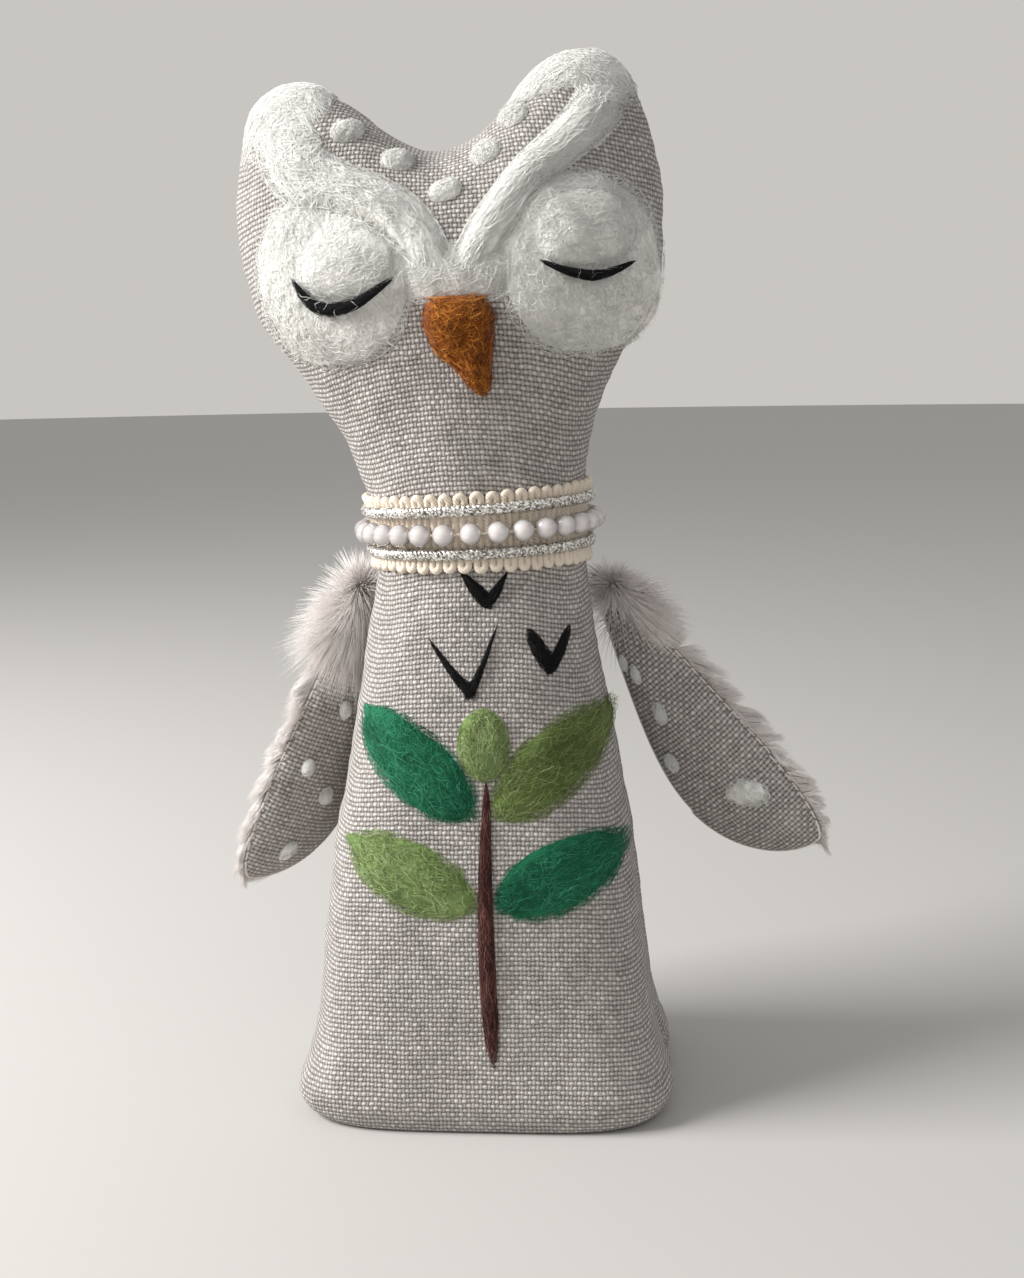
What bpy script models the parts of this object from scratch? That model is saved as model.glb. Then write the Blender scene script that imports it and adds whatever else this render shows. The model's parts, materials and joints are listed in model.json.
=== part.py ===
"""A stuffed linen owl that stands on a boxed base, with two furred wings on thread shanks.

Metres, +Z up. The owl looks along -Y and stands on Z = 0. The origin is the middle of its base.
Its head leans to its own right, so most places are worked out on an upright owl and then leaned.
"""
import math

import bmesh
import bpy
from mathutils import Euler, Vector

MM = 0.001

# Body and head, measured on the upright owl
FOOT_HALF_WIDTH = 42.2 * MM
FOOT_HALF_DEPTH = 30.5 * MM
NECK_HALF_WIDTH = 22.8 * MM
NECK_HALF_DEPTH = 20.5 * MM
HEAD_HALF_WIDTH = 45.6 * MM
HEAD_HALF_DEPTH = 25.2 * MM
NECK_HEIGHT = 128.0 * MM
HEAD_HEIGHT = 86.0 * MM
EAR_RISE = 10.5 * MM
NOTCH_DIP = 5.6 * MM
FOOT_SQUARENESS = 5.0
ROUND_SQUARENESS = 2.1
HEAD_LEAN = math.radians(4.5)

# Height between floor and neck, then how far the width and the depth have swollen from neck to foot
BODY_SWELL_SHARES = (
    (0.000, 0.84, 0.86),
    (0.020, 0.955, 0.96),
    (0.045, 1.00, 1.00),
    (0.094, 0.89, 0.93),
    (0.156, 0.79, 0.86),
    (0.250, 0.71, 0.78),
    (0.469, 0.54, 0.60),
    (0.742, 0.225, 0.35),
    (1.000, 0.00, 0.00),
)
# The same from the neck up to the ear corners, and from neck to head
HEAD_SWELL_SHARES = (
    (0.198, 0.122, 0.17),
    (0.395, 0.463, 0.64),
    (0.605, 0.926, 1.00),
    (0.779, 1.00, 0.85),
    (1.000, 0.838, 0.53),
)
CROWN_SHARE = 0.605
EAR_TIP_SHARE = 0.70
LEAN_START_SHARE = 0.82
LEAN_END_SHARE = 1.17
SIDE_LIMIT_SHARE = 0.998
CROWN_ROW_SHARE = 0.75
ROW_EASING = 1.2

# Cloth and clearances
CLOTH = 0.6 * MM
GAP = 0.3 * MM
SEAM_GAP = 0.5 * MM
FELT_CLEARANCE = 0.6 * MM
NOTCH_CLEARANCE = 0.95 * MM
HEM_LIFT = 0.4 * MM
BASE_THICKNESS = 1.2 * MM
STUFFING_INSET = CLOTH + 3.0 * GAP
PELLET_BAG_HEIGHT = 20.0 * MM

# Collar
COLLAR_RISE = 1.6 * MM
COLLAR_WIDTH = 16.8 * MM
COLLAR_THICKNESS = 1.0 * MM
COLLAR_CLEARANCE = 0.5 * MM
SILVER_CORD_RADIUS = 1.1 * MM
SILVER_CORD_OFFSET = 4.3 * MM
PEARL_RADIUS = 2.0 * MM
PEARL_PAIR_COUNT = 15
PEARL_THREAD_RADIUS = 0.3 * MM

# Felt
FELT_SPOT_CROWN = 1.4 * MM
EYE_DISC_CROWN = 1.6 * MM
LASH_CROWN = 1.0 * MM
BROW_CROWN = 3.2 * MM
BEAK_CROWN = 6.0 * MM
LEAF_CROWN = 1.2 * MM
STEM_CROWN = 1.4 * MM
TICK_CROWN = 0.8 * MM

# Wings
WING_LENGTH = 76.0 * MM
WING_HALF_WIDTH = 13.0 * MM
WING_HALF_THICKNESS = 5.5 * MM
WING_TOP_HALF_WIDTH = 2.5 * MM
WING_PEAK_SHARE = 0.70
WING_EDGE_SHARE = 0.98
WING_TIP_SHARE = 0.42
WING_ROUNDING = 0.5
WING_BLUNT_SHARE = 0.05
WING_STUFFING_START_SHARE = 0.10
WING_STUFFING_END_SHARE = 0.96
PILE_THICKNESS = 1.6 * MM
SHOULDER_DROP = 11.5 * MM
SHOULDER_TURN = math.radians(100.0)
SHANK_RADIUS = 0.8 * MM
SHANK_LENGTH = 3.6 * MM
LEFT_WING_TILT = math.radians(26.0)
LEFT_WING_TURN = math.radians(42.0)
RIGHT_WING_TILT = math.radians(42.0)
RIGHT_WING_TURN = math.radians(14.0)

CROWN_HEIGHT = NECK_HEIGHT + CROWN_SHARE * HEAD_HEIGHT
CORNER_HEIGHT = NECK_HEIGHT + HEAD_HEIGHT
COLLAR_HEIGHT = NECK_HEIGHT + COLLAR_RISE
COLLAR_FACE = COLLAR_CLEARANCE + COLLAR_THICKNESS
FRONT = 0.0
BACK = math.pi
MERGE = 0.02 * MM

# Colour, roughness, metallic
LINEN = ((0.45, 0.41, 0.38), 0.95, 0.0)
LINING = ((0.62, 0.59, 0.55), 0.95, 0.0)
FUR = ((0.42, 0.38, 0.37), 0.90, 0.0)
STUFFING = ((0.86, 0.86, 0.84), 1.00, 0.0)
WHITE_WOOL = ((0.82, 0.82, 0.78), 1.00, 0.0)
BLACK_WOOL = ((0.02, 0.02, 0.02), 0.95, 0.0)
ORANGE_WOOL = ((0.46, 0.13, 0.01), 0.95, 0.0)
EMERALD_WOOL = ((0.02, 0.18, 0.08), 0.95, 0.0)
OLIVE_WOOL = ((0.20, 0.25, 0.08), 0.95, 0.0)
LEAF_WOOL = ((0.29, 0.38, 0.15), 0.95, 0.0)
BROWN_WOOL = ((0.07, 0.02, 0.02), 0.95, 0.0)
BRAID = ((0.77, 0.61, 0.41), 0.85, 0.0)
SILVER_THREAD = ((0.58, 0.56, 0.50), 0.35, 0.9)
PEARL = ((0.88, 0.83, 0.83), 0.15, 0.0)
THREAD = ((0.40, 0.36, 0.34), 0.90, 0.0)
PELLETS = ((0.75, 0.73, 0.68), 0.60, 0.0)


def clear_scene():
    """Remove what the open file holds, so that only the owl is left."""
    for old in list(bpy.data.objects):
        bpy.data.objects.remove(old, do_unlink=True)


def finish_material(name, look):
    """Return a Principled material of one colour, roughness and metallic value."""
    colour, roughness, metallic = look
    material = bpy.data.materials.new(name)
    material.use_nodes = True
    shader = material.node_tree.nodes["Principled BSDF"]
    shader.inputs["Base Color"].default_value = (*colour, 1.0)
    shader.inputs["Roughness"].default_value = roughness
    shader.inputs["Metallic"].default_value = metallic
    return material


def add_object(name, data, look, collection, parent=None):
    """Link an object that carries the data, with its own material."""
    piece = bpy.data.objects.new(name, data)
    piece.data.materials.append(finish_material(name, look))
    collection.objects.link(piece)
    piece.parent = parent
    return piece


def add_mesh(name, work, look, collection, parent=None):
    """Turn a bmesh into a smooth-shaded object."""
    mesh = bpy.data.meshes.new(name)
    work.to_mesh(mesh)
    work.free()
    mesh.shade_smooth()
    return add_object(name, mesh, look, collection, parent)


def thicken(piece, thickness, outwards):
    """Give an open surface a wall, on its outer or its inner side."""
    wall = piece.modifiers.new("wall", "SOLIDIFY")
    wall.thickness = thickness
    wall.offset = 1.0 if outwards else -1.0
    return piece


def turn_outwards(work, inner_point):
    """Make an open surface face away from a point behind it."""
    work.normal_update()
    facing = sum(face.normal.dot(face.calc_center_median() - inner_point) for face in work.faces)
    if facing < 0.0:
        bmesh.ops.reverse_faces(work, faces=work.faces)


def close_outwards(work):
    """Make a closed body's faces point out of it."""
    bmesh.ops.recalc_face_normals(work, faces=work.faces)
    if work.calc_volume(signed=True) < 0.0:
        bmesh.ops.reverse_faces(work, faces=work.faces)


def smooth_step(share):
    """Ease from 0 to 1 with level ends."""
    share = min(max(share, 0.0), 1.0)
    return share * share * (3.0 - 2.0 * share)


def swell_stations():
    """List height, half width, half depth and squareness from the floor to the ear corners."""
    rows = []
    for height_share, wide_share, deep_share in BODY_SWELL_SHARES:
        squareness = ROUND_SQUARENESS + (FOOT_SQUARENESS - ROUND_SQUARENESS) * wide_share ** 1.6
        rows.append((
            height_share * NECK_HEIGHT,
            NECK_HALF_WIDTH + (FOOT_HALF_WIDTH - NECK_HALF_WIDTH) * wide_share,
            NECK_HALF_DEPTH + (FOOT_HALF_DEPTH - NECK_HALF_DEPTH) * deep_share,
            squareness,
        ))
    for height_share, wide_share, deep_share in HEAD_SWELL_SHARES:
        rows.append((
            NECK_HEIGHT + height_share * HEAD_HEIGHT,
            NECK_HALF_WIDTH + (HEAD_HALF_WIDTH - NECK_HALF_WIDTH) * wide_share,
            NECK_HALF_DEPTH + (HEAD_HALF_DEPTH - NECK_HALF_DEPTH) * deep_share,
            ROUND_SQUARENESS,
        ))
    return rows


STATIONS = swell_stations()


def read_station(column, height):
    """Read one column of the stations at a height, along a smooth curve that never overshoots."""
    heights = [row[0] for row in STATIONS]
    values = [row[column] for row in STATIONS]
    last = len(STATIONS) - 1
    height = min(max(height, heights[0]), heights[-1])
    here = max(index for index in range(last) if heights[index] <= height)
    steps = [(values[k + 1] - values[k]) / (heights[k + 1] - heights[k]) for k in range(last)]

    def slope(k):
        if k in (0, last):
            return steps[0] if k == 0 else steps[-1]
        before, after = steps[k - 1], steps[k]
        return 0.0 if before * after <= 0.0 else 2.0 * before * after / (before + after)

    span = heights[here + 1] - heights[here]
    t = (height - heights[here]) / span
    rise = 3.0 * t ** 2 - 2.0 * t ** 3
    leave = (t ** 3 - 2.0 * t ** 2 + t) * span * slope(here)
    arrive = (t ** 3 - t ** 2) * span * slope(here + 1)
    return values[here] + rise * (values[here + 1] - values[here]) + leave + arrive


def ear_line(across_share):
    """Height of the top seam over the ear corners: a dip in the middle and two round ears."""
    side = min(abs(across_share), 1.0)
    if side < EAR_TIP_SHARE:
        climb = (1.0 - math.cos(math.pi * side / EAR_TIP_SHARE)) / 2.0
        return -NOTCH_DIP + (EAR_RISE + NOTCH_DIP) * climb
    fall = (side - EAR_TIP_SHARE) / (1.0 - EAR_TIP_SHARE)
    return EAR_RISE * math.sqrt(max(0.0, 1.0 - fall ** 2))


def leaned(x, y, z):
    """Carry a place on the upright owl to the leaning one: the neck bends and the head follows."""
    start = LEAN_START_SHARE * NECK_HEIGHT
    end = LEAN_END_SHARE * NECK_HEIGHT
    angle = HEAD_LEAN * smooth_step((z - start) / (end - start))
    rise = z - NECK_HEIGHT
    return Vector((
        x * math.cos(angle) - rise * math.sin(angle),
        y,
        NECK_HEIGHT + x * math.sin(angle) + rise * math.cos(angle),
    ))


def form_point(turn, height, closing=0.0, proud=0.0):
    """A place on the owl's outer form.

    turn goes round from 0 at the front, height stops at the crown, closing runs 0 to 1 from there
    to the top seam, and proud moves the place out of the form.
    """
    over = math.sin(closing * math.pi / 2.0)
    level = height + (CORNER_HEIGHT - CROWN_HEIGHT) * over
    power = 2.0 / read_station(3, level)
    wide = read_station(1, level) + proud
    deep = read_station(2, level) + proud
    across = math.copysign(abs(math.sin(turn)) ** power, math.sin(turn))
    along = math.copysign(abs(math.cos(turn)) ** power, math.cos(turn))
    top = ear_line(across) * over ** 1.5 + 1.5 * proud * over
    return leaned(wide * across, -deep * along * math.cos(closing * math.pi / 2.0), level + top)


def closing_at(x, z):
    """Find how far the crown has closed at a place seen from the front, by halving."""
    if z <= CROWN_HEIGHT:
        return 0.0
    low, high = 0.0, 1.0
    for _ in range(30):
        middle = (low + high) / 2.0
        over = math.sin(middle * math.pi / 2.0)
        level = CROWN_HEIGHT + (CORNER_HEIGHT - CROWN_HEIGHT) * over
        level += ear_line(x / read_station(1, level)) * over ** 1.5
        low, high = (middle, high) if level < z else (low, middle)
    return low


def front_place(x, z):
    """The place on the upright owl's front that shows at x and z."""
    closing = closing_at(x, z)
    over = math.sin(closing * math.pi / 2.0)
    level = min(z, CROWN_HEIGHT) + (CORNER_HEIGHT - CROWN_HEIGHT) * over
    across = min(abs(x) / read_station(1, level), SIDE_LIMIT_SHARE)
    squareness = read_station(3, level)
    along = (1.0 - across ** squareness) ** (1.0 / squareness)
    depth = read_station(2, level) * along * math.cos(closing * math.pi / 2.0)
    return leaned(x, -depth, z)


def on_front(x, z, proud):
    """A place above the front's cloth, measured along the cloth's own normal."""
    step = 10.0 * MERGE
    right = front_place(x + step, z) - front_place(x - step, z)
    up = front_place(x, z + step) - front_place(x, z - step)
    return front_place(x, z) + right.cross(up).normalized() * proud


def route_point(route, share):
    """A place and a heading along a smooth curve through a route's points, in x and z."""
    last = len(route) - 1
    here = min(int(share * last), last - 1)
    t = share * last - here
    before = route[max(here - 1, 0)]
    start, end = route[here], route[here + 1]
    after = route[min(here + 2, last)]
    place, heading = [], []
    for axis in (0, 1):
        leave = (end[axis] - before[axis]) / 2.0
        arrive = (after[axis] - start[axis]) / 2.0
        bend = 2.0 * (start[axis] - end[axis]) + leave + arrive
        ease = 3.0 * (end[axis] - start[axis]) - 2.0 * leave - arrive
        place.append(start[axis] + leave * t + ease * t ** 2 + bend * t ** 3)
        heading.append(leave + 2.0 * ease * t + 3.0 * bend * t ** 2)
    length = math.hypot(*heading)
    return place, (heading[0] / length, heading[1] / length)


def read_shares(shares, place):
    """Read evenly spaced shares at a place from 0 to 1."""
    last = len(shares) - 1
    here = min(int(place * last), last - 1)
    return shares[here] + (shares[here + 1] - shares[here]) * (place * last - here)


def felt_pad(name, route, half_width, crown, look, collection, **shape):
    """Lay a domed felt pad along a route on the owl's front.

    A unit sphere's axis follows the route, its width spreads across and its upper half domes up.
    Its underside lies a gap above the cloth, or above what lies under it.
    """
    width_shares = shape.get("width_shares", (1.0, 1.0))
    under = shape.get("under", [])
    clearance = shape.get("clearance", FELT_CLEARANCE)
    work = bmesh.new()
    bmesh.ops.create_uvsphere(
        work, u_segments=shape.get("around", 8), v_segments=shape.get("along", 8), radius=1.0)
    for vert in work.verts:
        share = (1.0 - vert.co.z) / 2.0
        place, heading = route_point(route, share)
        spread = half_width * read_shares(width_shares, share) * vert.co.x
        x = place[0] - heading[1] * spread
        z = place[1] + heading[0] * spread
        lift = clearance + sum(layer(x, z) for layer in under) + crown * max(vert.co.y, 0.0)
        vert.co = on_front(x, z, lift)
    close_outwards(work)
    return add_mesh(name, work, look, collection)


def head_place(across_share, rise_share):
    """A place on the upright head, from shares of its half width and of its height."""
    return (across_share * HEAD_HALF_WIDTH, NECK_HEIGHT + rise_share * HEAD_HEIGHT)


def body_place(across_share, rise_share):
    """A place on the body, from shares of the foot's half width and of the neck's height."""
    return (across_share * FOOT_HALF_WIDTH, rise_share * NECK_HEIGHT)


# Skins and stuffing
def panel_row(share):
    """Height and crown closing of a panel's row: close rows at the foot, even ones over the crown."""
    if share < CROWN_ROW_SHARE:
        climb = (share / CROWN_ROW_SHARE) ** ROW_EASING
        return HEM_LIFT + (CROWN_HEIGHT - HEM_LIFT) * climb, 0.0
    return CROWN_HEIGHT, (share - CROWN_ROW_SHARE) / (1.0 - CROWN_ROW_SHARE)


def add_panel(name, middle, look, collection):
    """Make the front or the back of the linen skin, from hem to ears, open at its hem and seams."""
    work = bmesh.new()
    bmesh.ops.create_grid(work, x_segments=14, y_segments=40, size=1.0)
    seam = SEAM_GAP / 2.0 if middle == BACK else -SEAM_GAP / 2.0
    for vert in work.verts:
        height, closing = panel_row((vert.co.y + 1.0) / 2.0)
        vert.co = form_point(middle + vert.co.x * math.pi / 2.0, height, closing)
        vert.co.y += seam
    turn_outwards(work, Vector((0.0, 0.0, NECK_HEIGHT)))
    return thicken(add_mesh(name, work, look, collection), CLOTH, outwards=False)


def add_stuffing(name, low, high, rows, look, collection, crowned=False):
    """Fill the skin between two heights, or up to the ears."""
    work = bmesh.new()
    crown_rows = 5 if crowned else 0
    for middle in (FRONT, BACK):
        grid = bmesh.ops.create_grid(work, x_segments=12, y_segments=rows + crown_rows, size=1.0)
        for vert in grid["verts"]:
            row = (vert.co.y + 1.0) / 2.0 * (rows + crown_rows)
            climb = min(row / rows, 1.0)
            closing = max(row - rows, 0.0) / max(crown_rows, 1)
            turn = middle + vert.co.x * math.pi / 2.0
            vert.co = form_point(turn, low + (high - low) * climb, closing, -STUFFING_INSET)
    bmesh.ops.remove_doubles(work, verts=work.verts, dist=MERGE)
    rims = [edge for edge in work.edges if edge.is_boundary]
    bmesh.ops.holes_fill(work, edges=rims, sides=0)
    close_outwards(work)
    return add_mesh(name, work, look, collection)


def add_base(look, collection):
    """Make the flat base panel, inside the hem of the two skins."""
    outline = bpy.data.curves.new("base_panel", "CURVE")
    outline.dimensions = "2D"
    outline.fill_mode = "BOTH"
    outline.extrude = BASE_THICKNESS / 2.0
    count = 36
    spline = outline.splines.new("POLY")
    spline.points.add(count - 1)
    spline.use_cyclic_u = True
    for index, point in enumerate(spline.points):
        place = form_point(2.0 * math.pi * index / count, HEM_LIFT, 0.0, -(CLOTH + GAP))
        point.co = (place.x, place.y, 0.0, 1.0)
    piece = add_object("base_panel", outline, look, collection)
    piece.location.z = BASE_THICKNESS / 2.0
    return piece


def build_body(collection):
    """Make the linen skin, its base and what fills it."""
    add_panel("front_panel", FRONT, LINEN, collection)
    add_panel("back_panel", BACK, LINEN, collection)
    add_base(LINING, collection)
    bag_low = BASE_THICKNESS + GAP
    bag_high = bag_low + PELLET_BAG_HEIGHT
    add_stuffing("pellet_bag", bag_low, bag_high, 3, PELLETS, collection)
    add_stuffing("body_stuffing", bag_high + GAP, NECK_HEIGHT - GAP, 8, STUFFING, collection)
    add_stuffing("head_stuffing", NECK_HEIGHT, CROWN_HEIGHT, 8, STUFFING, collection, crowned=True)


# Collar
def add_collar_band(collection):
    """Wrap the woven band round the neck."""
    segments = 40
    work = bmesh.new()
    bmesh.ops.create_cone(
        work, cap_ends=False, segments=segments, radius1=1.0, radius2=1.0, depth=1.0)
    uprights = [edge for edge in work.edges if abs(edge.verts[0].co.z - edge.verts[1].co.z) > 0.5]
    bmesh.ops.subdivide_edges(work, edges=uprights, cuts=3)
    for vert in work.verts:
        turn = math.atan2(vert.co.x, -vert.co.y)
        height = COLLAR_HEIGHT + vert.co.z * COLLAR_WIDTH
        vert.co = form_point(turn, height, 0.0, COLLAR_CLEARANCE)
    turn_outwards(work, Vector((0.0, 0.0, COLLAR_HEIGHT)))
    band = add_mesh("collar_band", work, BRAID, collection)
    thicken(band, COLLAR_THICKNESS, outwards=True)


def add_silver_cord(name, height, collection):
    """Wrap a round cord over the band."""
    points = 44
    cord = bpy.data.curves.new(name, "CURVE")
    cord.dimensions = "3D"
    cord.bevel_depth = SILVER_CORD_RADIUS
    cord.bevel_resolution = 1
    spline = cord.splines.new("POLY")
    spline.points.add(points - 1)
    spline.use_cyclic_u = True
    proud = COLLAR_FACE + GAP + SILVER_CORD_RADIUS
    for index, point in enumerate(spline.points):
        place = form_point(2.0 * math.pi * index / points, height, 0.0, proud)
        point.co = (*place, 1.0)
    add_object(name, cord, SILVER_THREAD, collection)


def pearl_pair_rows(half_pitch):
    """Heights and radii of the rows down two pearls and the thread between them."""
    thread_turn = math.asin(PEARL_THREAD_RADIUS / PEARL_RADIUS)
    turns = [math.radians(20.0), math.radians(55.0), math.radians(90.0), math.radians(125.0),
             math.pi - thread_turn]
    lower = [(-half_pitch - PEARL_RADIUS * math.cos(t), PEARL_RADIUS * math.sin(t)) for t in turns]
    return lower + [(-height, radius) for height, radius in reversed(lower)]


def add_pearl_pair(name, index, collection):
    """String two neighbouring pearls."""
    proud = COLLAR_FACE + GAP + PEARL_RADIUS
    step = math.pi / PEARL_PAIR_COUNT
    first, second = (
        form_point(2.0 * index * step + ahead, COLLAR_HEIGHT, 0.0, proud) for ahead in (0.0, step))
    rows = pearl_pair_rows((second - first).length / 2.0)
    work = bmesh.new()
    bmesh.ops.create_cone(work, cap_ends=True, segments=8, radius1=1.0, radius2=1.0, depth=1.0)
    uprights = [edge for edge in work.edges if abs(edge.verts[0].co.z - edge.verts[1].co.z) > 0.5]
    bmesh.ops.subdivide_edges(work, edges=uprights, cuts=len(rows) - 2)
    for vert in work.verts:
        height, radius = rows[round((vert.co.z + 0.5) * (len(rows) - 1))]
        vert.co = Vector((vert.co.x * radius, vert.co.y * radius, height))
    pair = add_mesh(name, work, PEARL, collection)
    pair.location = (first + second) / 2.0
    pair.rotation_mode = "QUATERNION"
    pair.rotation_quaternion = (second - first).to_track_quat("Z", "Y")


def build_collar(collection):
    """Make the band, its two silver cords and the row of pearls between them."""
    add_collar_band(collection)
    add_silver_cord("upper_silver_cord", COLLAR_HEIGHT + SILVER_CORD_OFFSET, collection)
    add_silver_cord("lower_silver_cord", COLLAR_HEIGHT - SILVER_CORD_OFFSET, collection)
    for index in range(PEARL_PAIR_COUNT):
        add_pearl_pair(f"pearl_pair_{index + 1:02d}", index, collection)


# Face
EYE_DISCS = {
    "left": {"top_shares": (-0.475, 0.850), "foot_shares": (-0.540, 0.445), "wide_share": 0.355},
    "right": {"top_shares": (0.600, 0.825), "foot_shares": (0.600, 0.420), "wide_share": 0.345},
}
LASH_SHARES = {
    "left": ((-0.645, 0.642), (-0.580, 0.592), (-0.489, 0.572), (-0.359, 0.582), (-0.225, 0.620)),
    "right": ((0.418, 0.628), (0.501, 0.606), (0.607, 0.592), (0.695, 0.597), (0.790, 0.616)),
}
BROW_SHARES = {
    "left": (
        (-0.73, 1.01), (-0.63, 0.905), (-0.45, 0.850), (-0.27, 0.800), (-0.12, 0.725), (-0.045, 0.640),
    ),
    "right": (
        (0.80, 0.970), (0.64, 0.905), (0.47, 0.858), (0.31, 0.800), (0.18, 0.725), (0.085, 0.630),
    ),
}
BROW_WIDTH_SHARES = (1.3, 1.1, 1.0, 1.0, 0.9, 0.7)
BEAK_WIDTH_SHARES = (1.1, 1.05, 0.9, 0.6, 0.5)
BEAK_SHARES = ((0.060, 0.572), (0.055, 0.500), (0.070, 0.430), (0.100, 0.345))
SPOT_SHARES = ((-0.399, 0.985), (-0.182, 0.903), (0.030, 0.816), (0.213, 0.898), (0.346, 0.980))
BEAK_HALF_WIDTH = 6.6 * MM
LASH_HALF_WIDTH = 1.3 * MM
BROW_HALF_WIDTH = 4.3 * MM
SPOT_HALF_WIDTH = 2.2 * MM
SPOT_HALF_LENGTH = 3.0 * MM


def disc_layer(side):
    """Return how high an eye disc, and the gap over it, stand at a place in x and z."""
    disc = EYE_DISCS[side]
    top = head_place(*disc["top_shares"])
    foot = head_place(*disc["foot_shares"])
    middle = ((top[0] + foot[0]) / 2.0, (top[1] + foot[1]) / 2.0)
    reach = math.hypot(top[0] - foot[0], top[1] - foot[1]) / 2.0
    along = ((foot[0] - middle[0]) / reach, (foot[1] - middle[1]) / reach)
    wide = disc["wide_share"] * HEAD_HALF_WIDTH
    rim_share = 0.25

    def height(x, z):
        run = (x - middle[0], z - middle[1])
        down = (run[0] * along[0] + run[1] * along[1]) / reach
        across = (run[0] * along[1] - run[1] * along[0]) / wide
        inside = 1.0 - down ** 2 - across ** 2
        return (EYE_DISC_CROWN + FELT_CLEARANCE) * math.sqrt(max(inside + rim_share, 0.0))

    return height


def build_face(collection):
    """Make the eye discs, closed lids, brows, beak and forehead spots."""
    for side in ("left", "right"):
        disc = EYE_DISCS[side]
        route = [head_place(*disc["top_shares"]), head_place(*disc["foot_shares"])]
        felt_pad(f"{side}_eye_disc", route, disc["wide_share"] * HEAD_HALF_WIDTH, EYE_DISC_CROWN,
                 WHITE_WOOL, collection, around=20, along=14)
        layers = [disc_layer(side)]
        lash = [head_place(*shares) for shares in LASH_SHARES[side]]
        felt_pad(f"{side}_lash", lash, LASH_HALF_WIDTH, LASH_CROWN, BLACK_WOOL, collection,
                 under=layers, along=12)
        brow = [head_place(*shares) for shares in BROW_SHARES[side]]
        felt_pad(f"{side}_brow", brow, BROW_HALF_WIDTH, BROW_CROWN, WHITE_WOOL, collection,
                 under=layers, along=20, width_shares=BROW_WIDTH_SHARES)
    beak = [head_place(*shares) for shares in BEAK_SHARES]
    felt_pad("beak", beak, BEAK_HALF_WIDTH, BEAK_CROWN, ORANGE_WOOL, collection,
             around=12, along=12, width_shares=BEAK_WIDTH_SHARES)
    for index, shares in enumerate(SPOT_SHARES):
        x, z = head_place(*shares)
        route = [(x - SPOT_HALF_LENGTH, z), (x + SPOT_HALF_LENGTH, z)]
        felt_pad(f"forehead_spot_{index + 1}", route, SPOT_HALF_WIDTH, FELT_SPOT_CROWN,
                 WHITE_WOOL, collection, along=6, clearance=NOTCH_CLEARANCE)


# Chest ticks and belly sprig
TICK_SHARES = {
    "upper_chest_tick": ((0.070, 0.900), 0.75),
    "middle_chest_tick": ((-0.020, 0.765), 1.15),
    "side_chest_tick": ((0.380, 0.795), 1.0),
}
TICK_SPAN = 5.2 * MM
TICK_DROP = 7.0 * MM
TICK_HALF_WIDTH = 0.9 * MM
STEM_SHARES = ((0.06, 0.600), (0.045, 0.44), (0.05, 0.30), (0.075, 0.12))
STEM_HALF_WIDTH = 1.5 * MM
STEM_WIDTH_SHARES = (0.8, 0.9, 1.0, 1.2, 1.5)
LEAF_WIDTH_SHARES = (0.7, 0.95, 1.0, 0.95, 0.7)
LEAF_LENGTH = 30.0 * MM
LEAF_HALF_WIDTH = 7.2 * MM
LEAF_CLEARANCE = 3.0 * MM
# Where a leaf starts up the body, its side, its spread from upright, its size and its wool
SPRIG_LEAVES = {
    "top_leaf": (0.625, 0.0, math.radians(0.0), 0.50, LEAF_WOOL),
    "upper_left_leaf": (0.555, -1.0, math.radians(50.0), 1.0, EMERALD_WOOL),
    "upper_right_leaf": (0.555, 1.0, math.radians(50.0), 1.0, OLIVE_WOOL),
    "lower_left_leaf": (0.40, -1.0, math.radians(66.0), 0.95, LEAF_WOOL),
    "lower_right_leaf": (0.40, 1.0, math.radians(66.0), 0.95, EMERALD_WOOL),
}


def add_tick(name, place_shares, size_share, collection):
    """Lay a V of black felt on the chest, as a strip with a mitred point."""
    x, z = body_place(*place_shares)
    span = TICK_SPAN * size_share
    drop = TICK_DROP * size_share
    corner = math.hypot(span, drop)
    mitre = TICK_HALF_WIDTH * corner / span
    work = bmesh.new()
    bmesh.ops.create_grid(work, x_segments=8, y_segments=2, size=1.0)
    for vert in work.verts:
        reach = abs(vert.co.x)
        taper = 1.0 - 0.6 * reach
        centre_x = x + span * vert.co.x
        centre_z = z + drop * reach
        vert.co = on_front(centre_x, centre_z + mitre * taper * vert.co.y, FELT_CLEARANCE)
    turn_outwards(work, Vector((0.0, 0.0, z)))
    return thicken(add_mesh(name, work, BLACK_WOOL, collection), TICK_CROWN, outwards=True)


def build_felt_work(collection):
    """Make the three ticks on the chest and the leafy sprig on the belly."""
    for name, (place_shares, size_share) in TICK_SHARES.items():
        add_tick(name, place_shares, size_share, collection)
    stem = [body_place(*shares) for shares in STEM_SHARES]
    felt_pad("sprig_stem", stem, STEM_HALF_WIDTH, STEM_CROWN, BROWN_WOOL, collection,
             along=14, width_shares=STEM_WIDTH_SHARES)
    stem_middle = FOOT_HALF_WIDTH * STEM_SHARES[1][0]
    for name, (start_share, side, spread, size_share, wool) in SPRIG_LEAVES.items():
        x = stem_middle + side * LEAF_CLEARANCE
        z = start_share * NECK_HEIGHT
        length = LEAF_LENGTH * size_share
        tip = (x + side * length * math.sin(spread), z + length * math.cos(spread))
        half_width = LEAF_HALF_WIDTH * math.sqrt(size_share)
        felt_pad(name, [(x, z), tip], half_width, LEAF_CROWN, wool, collection,
                 along=10, width_shares=LEAF_WIDTH_SHARES)


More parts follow.
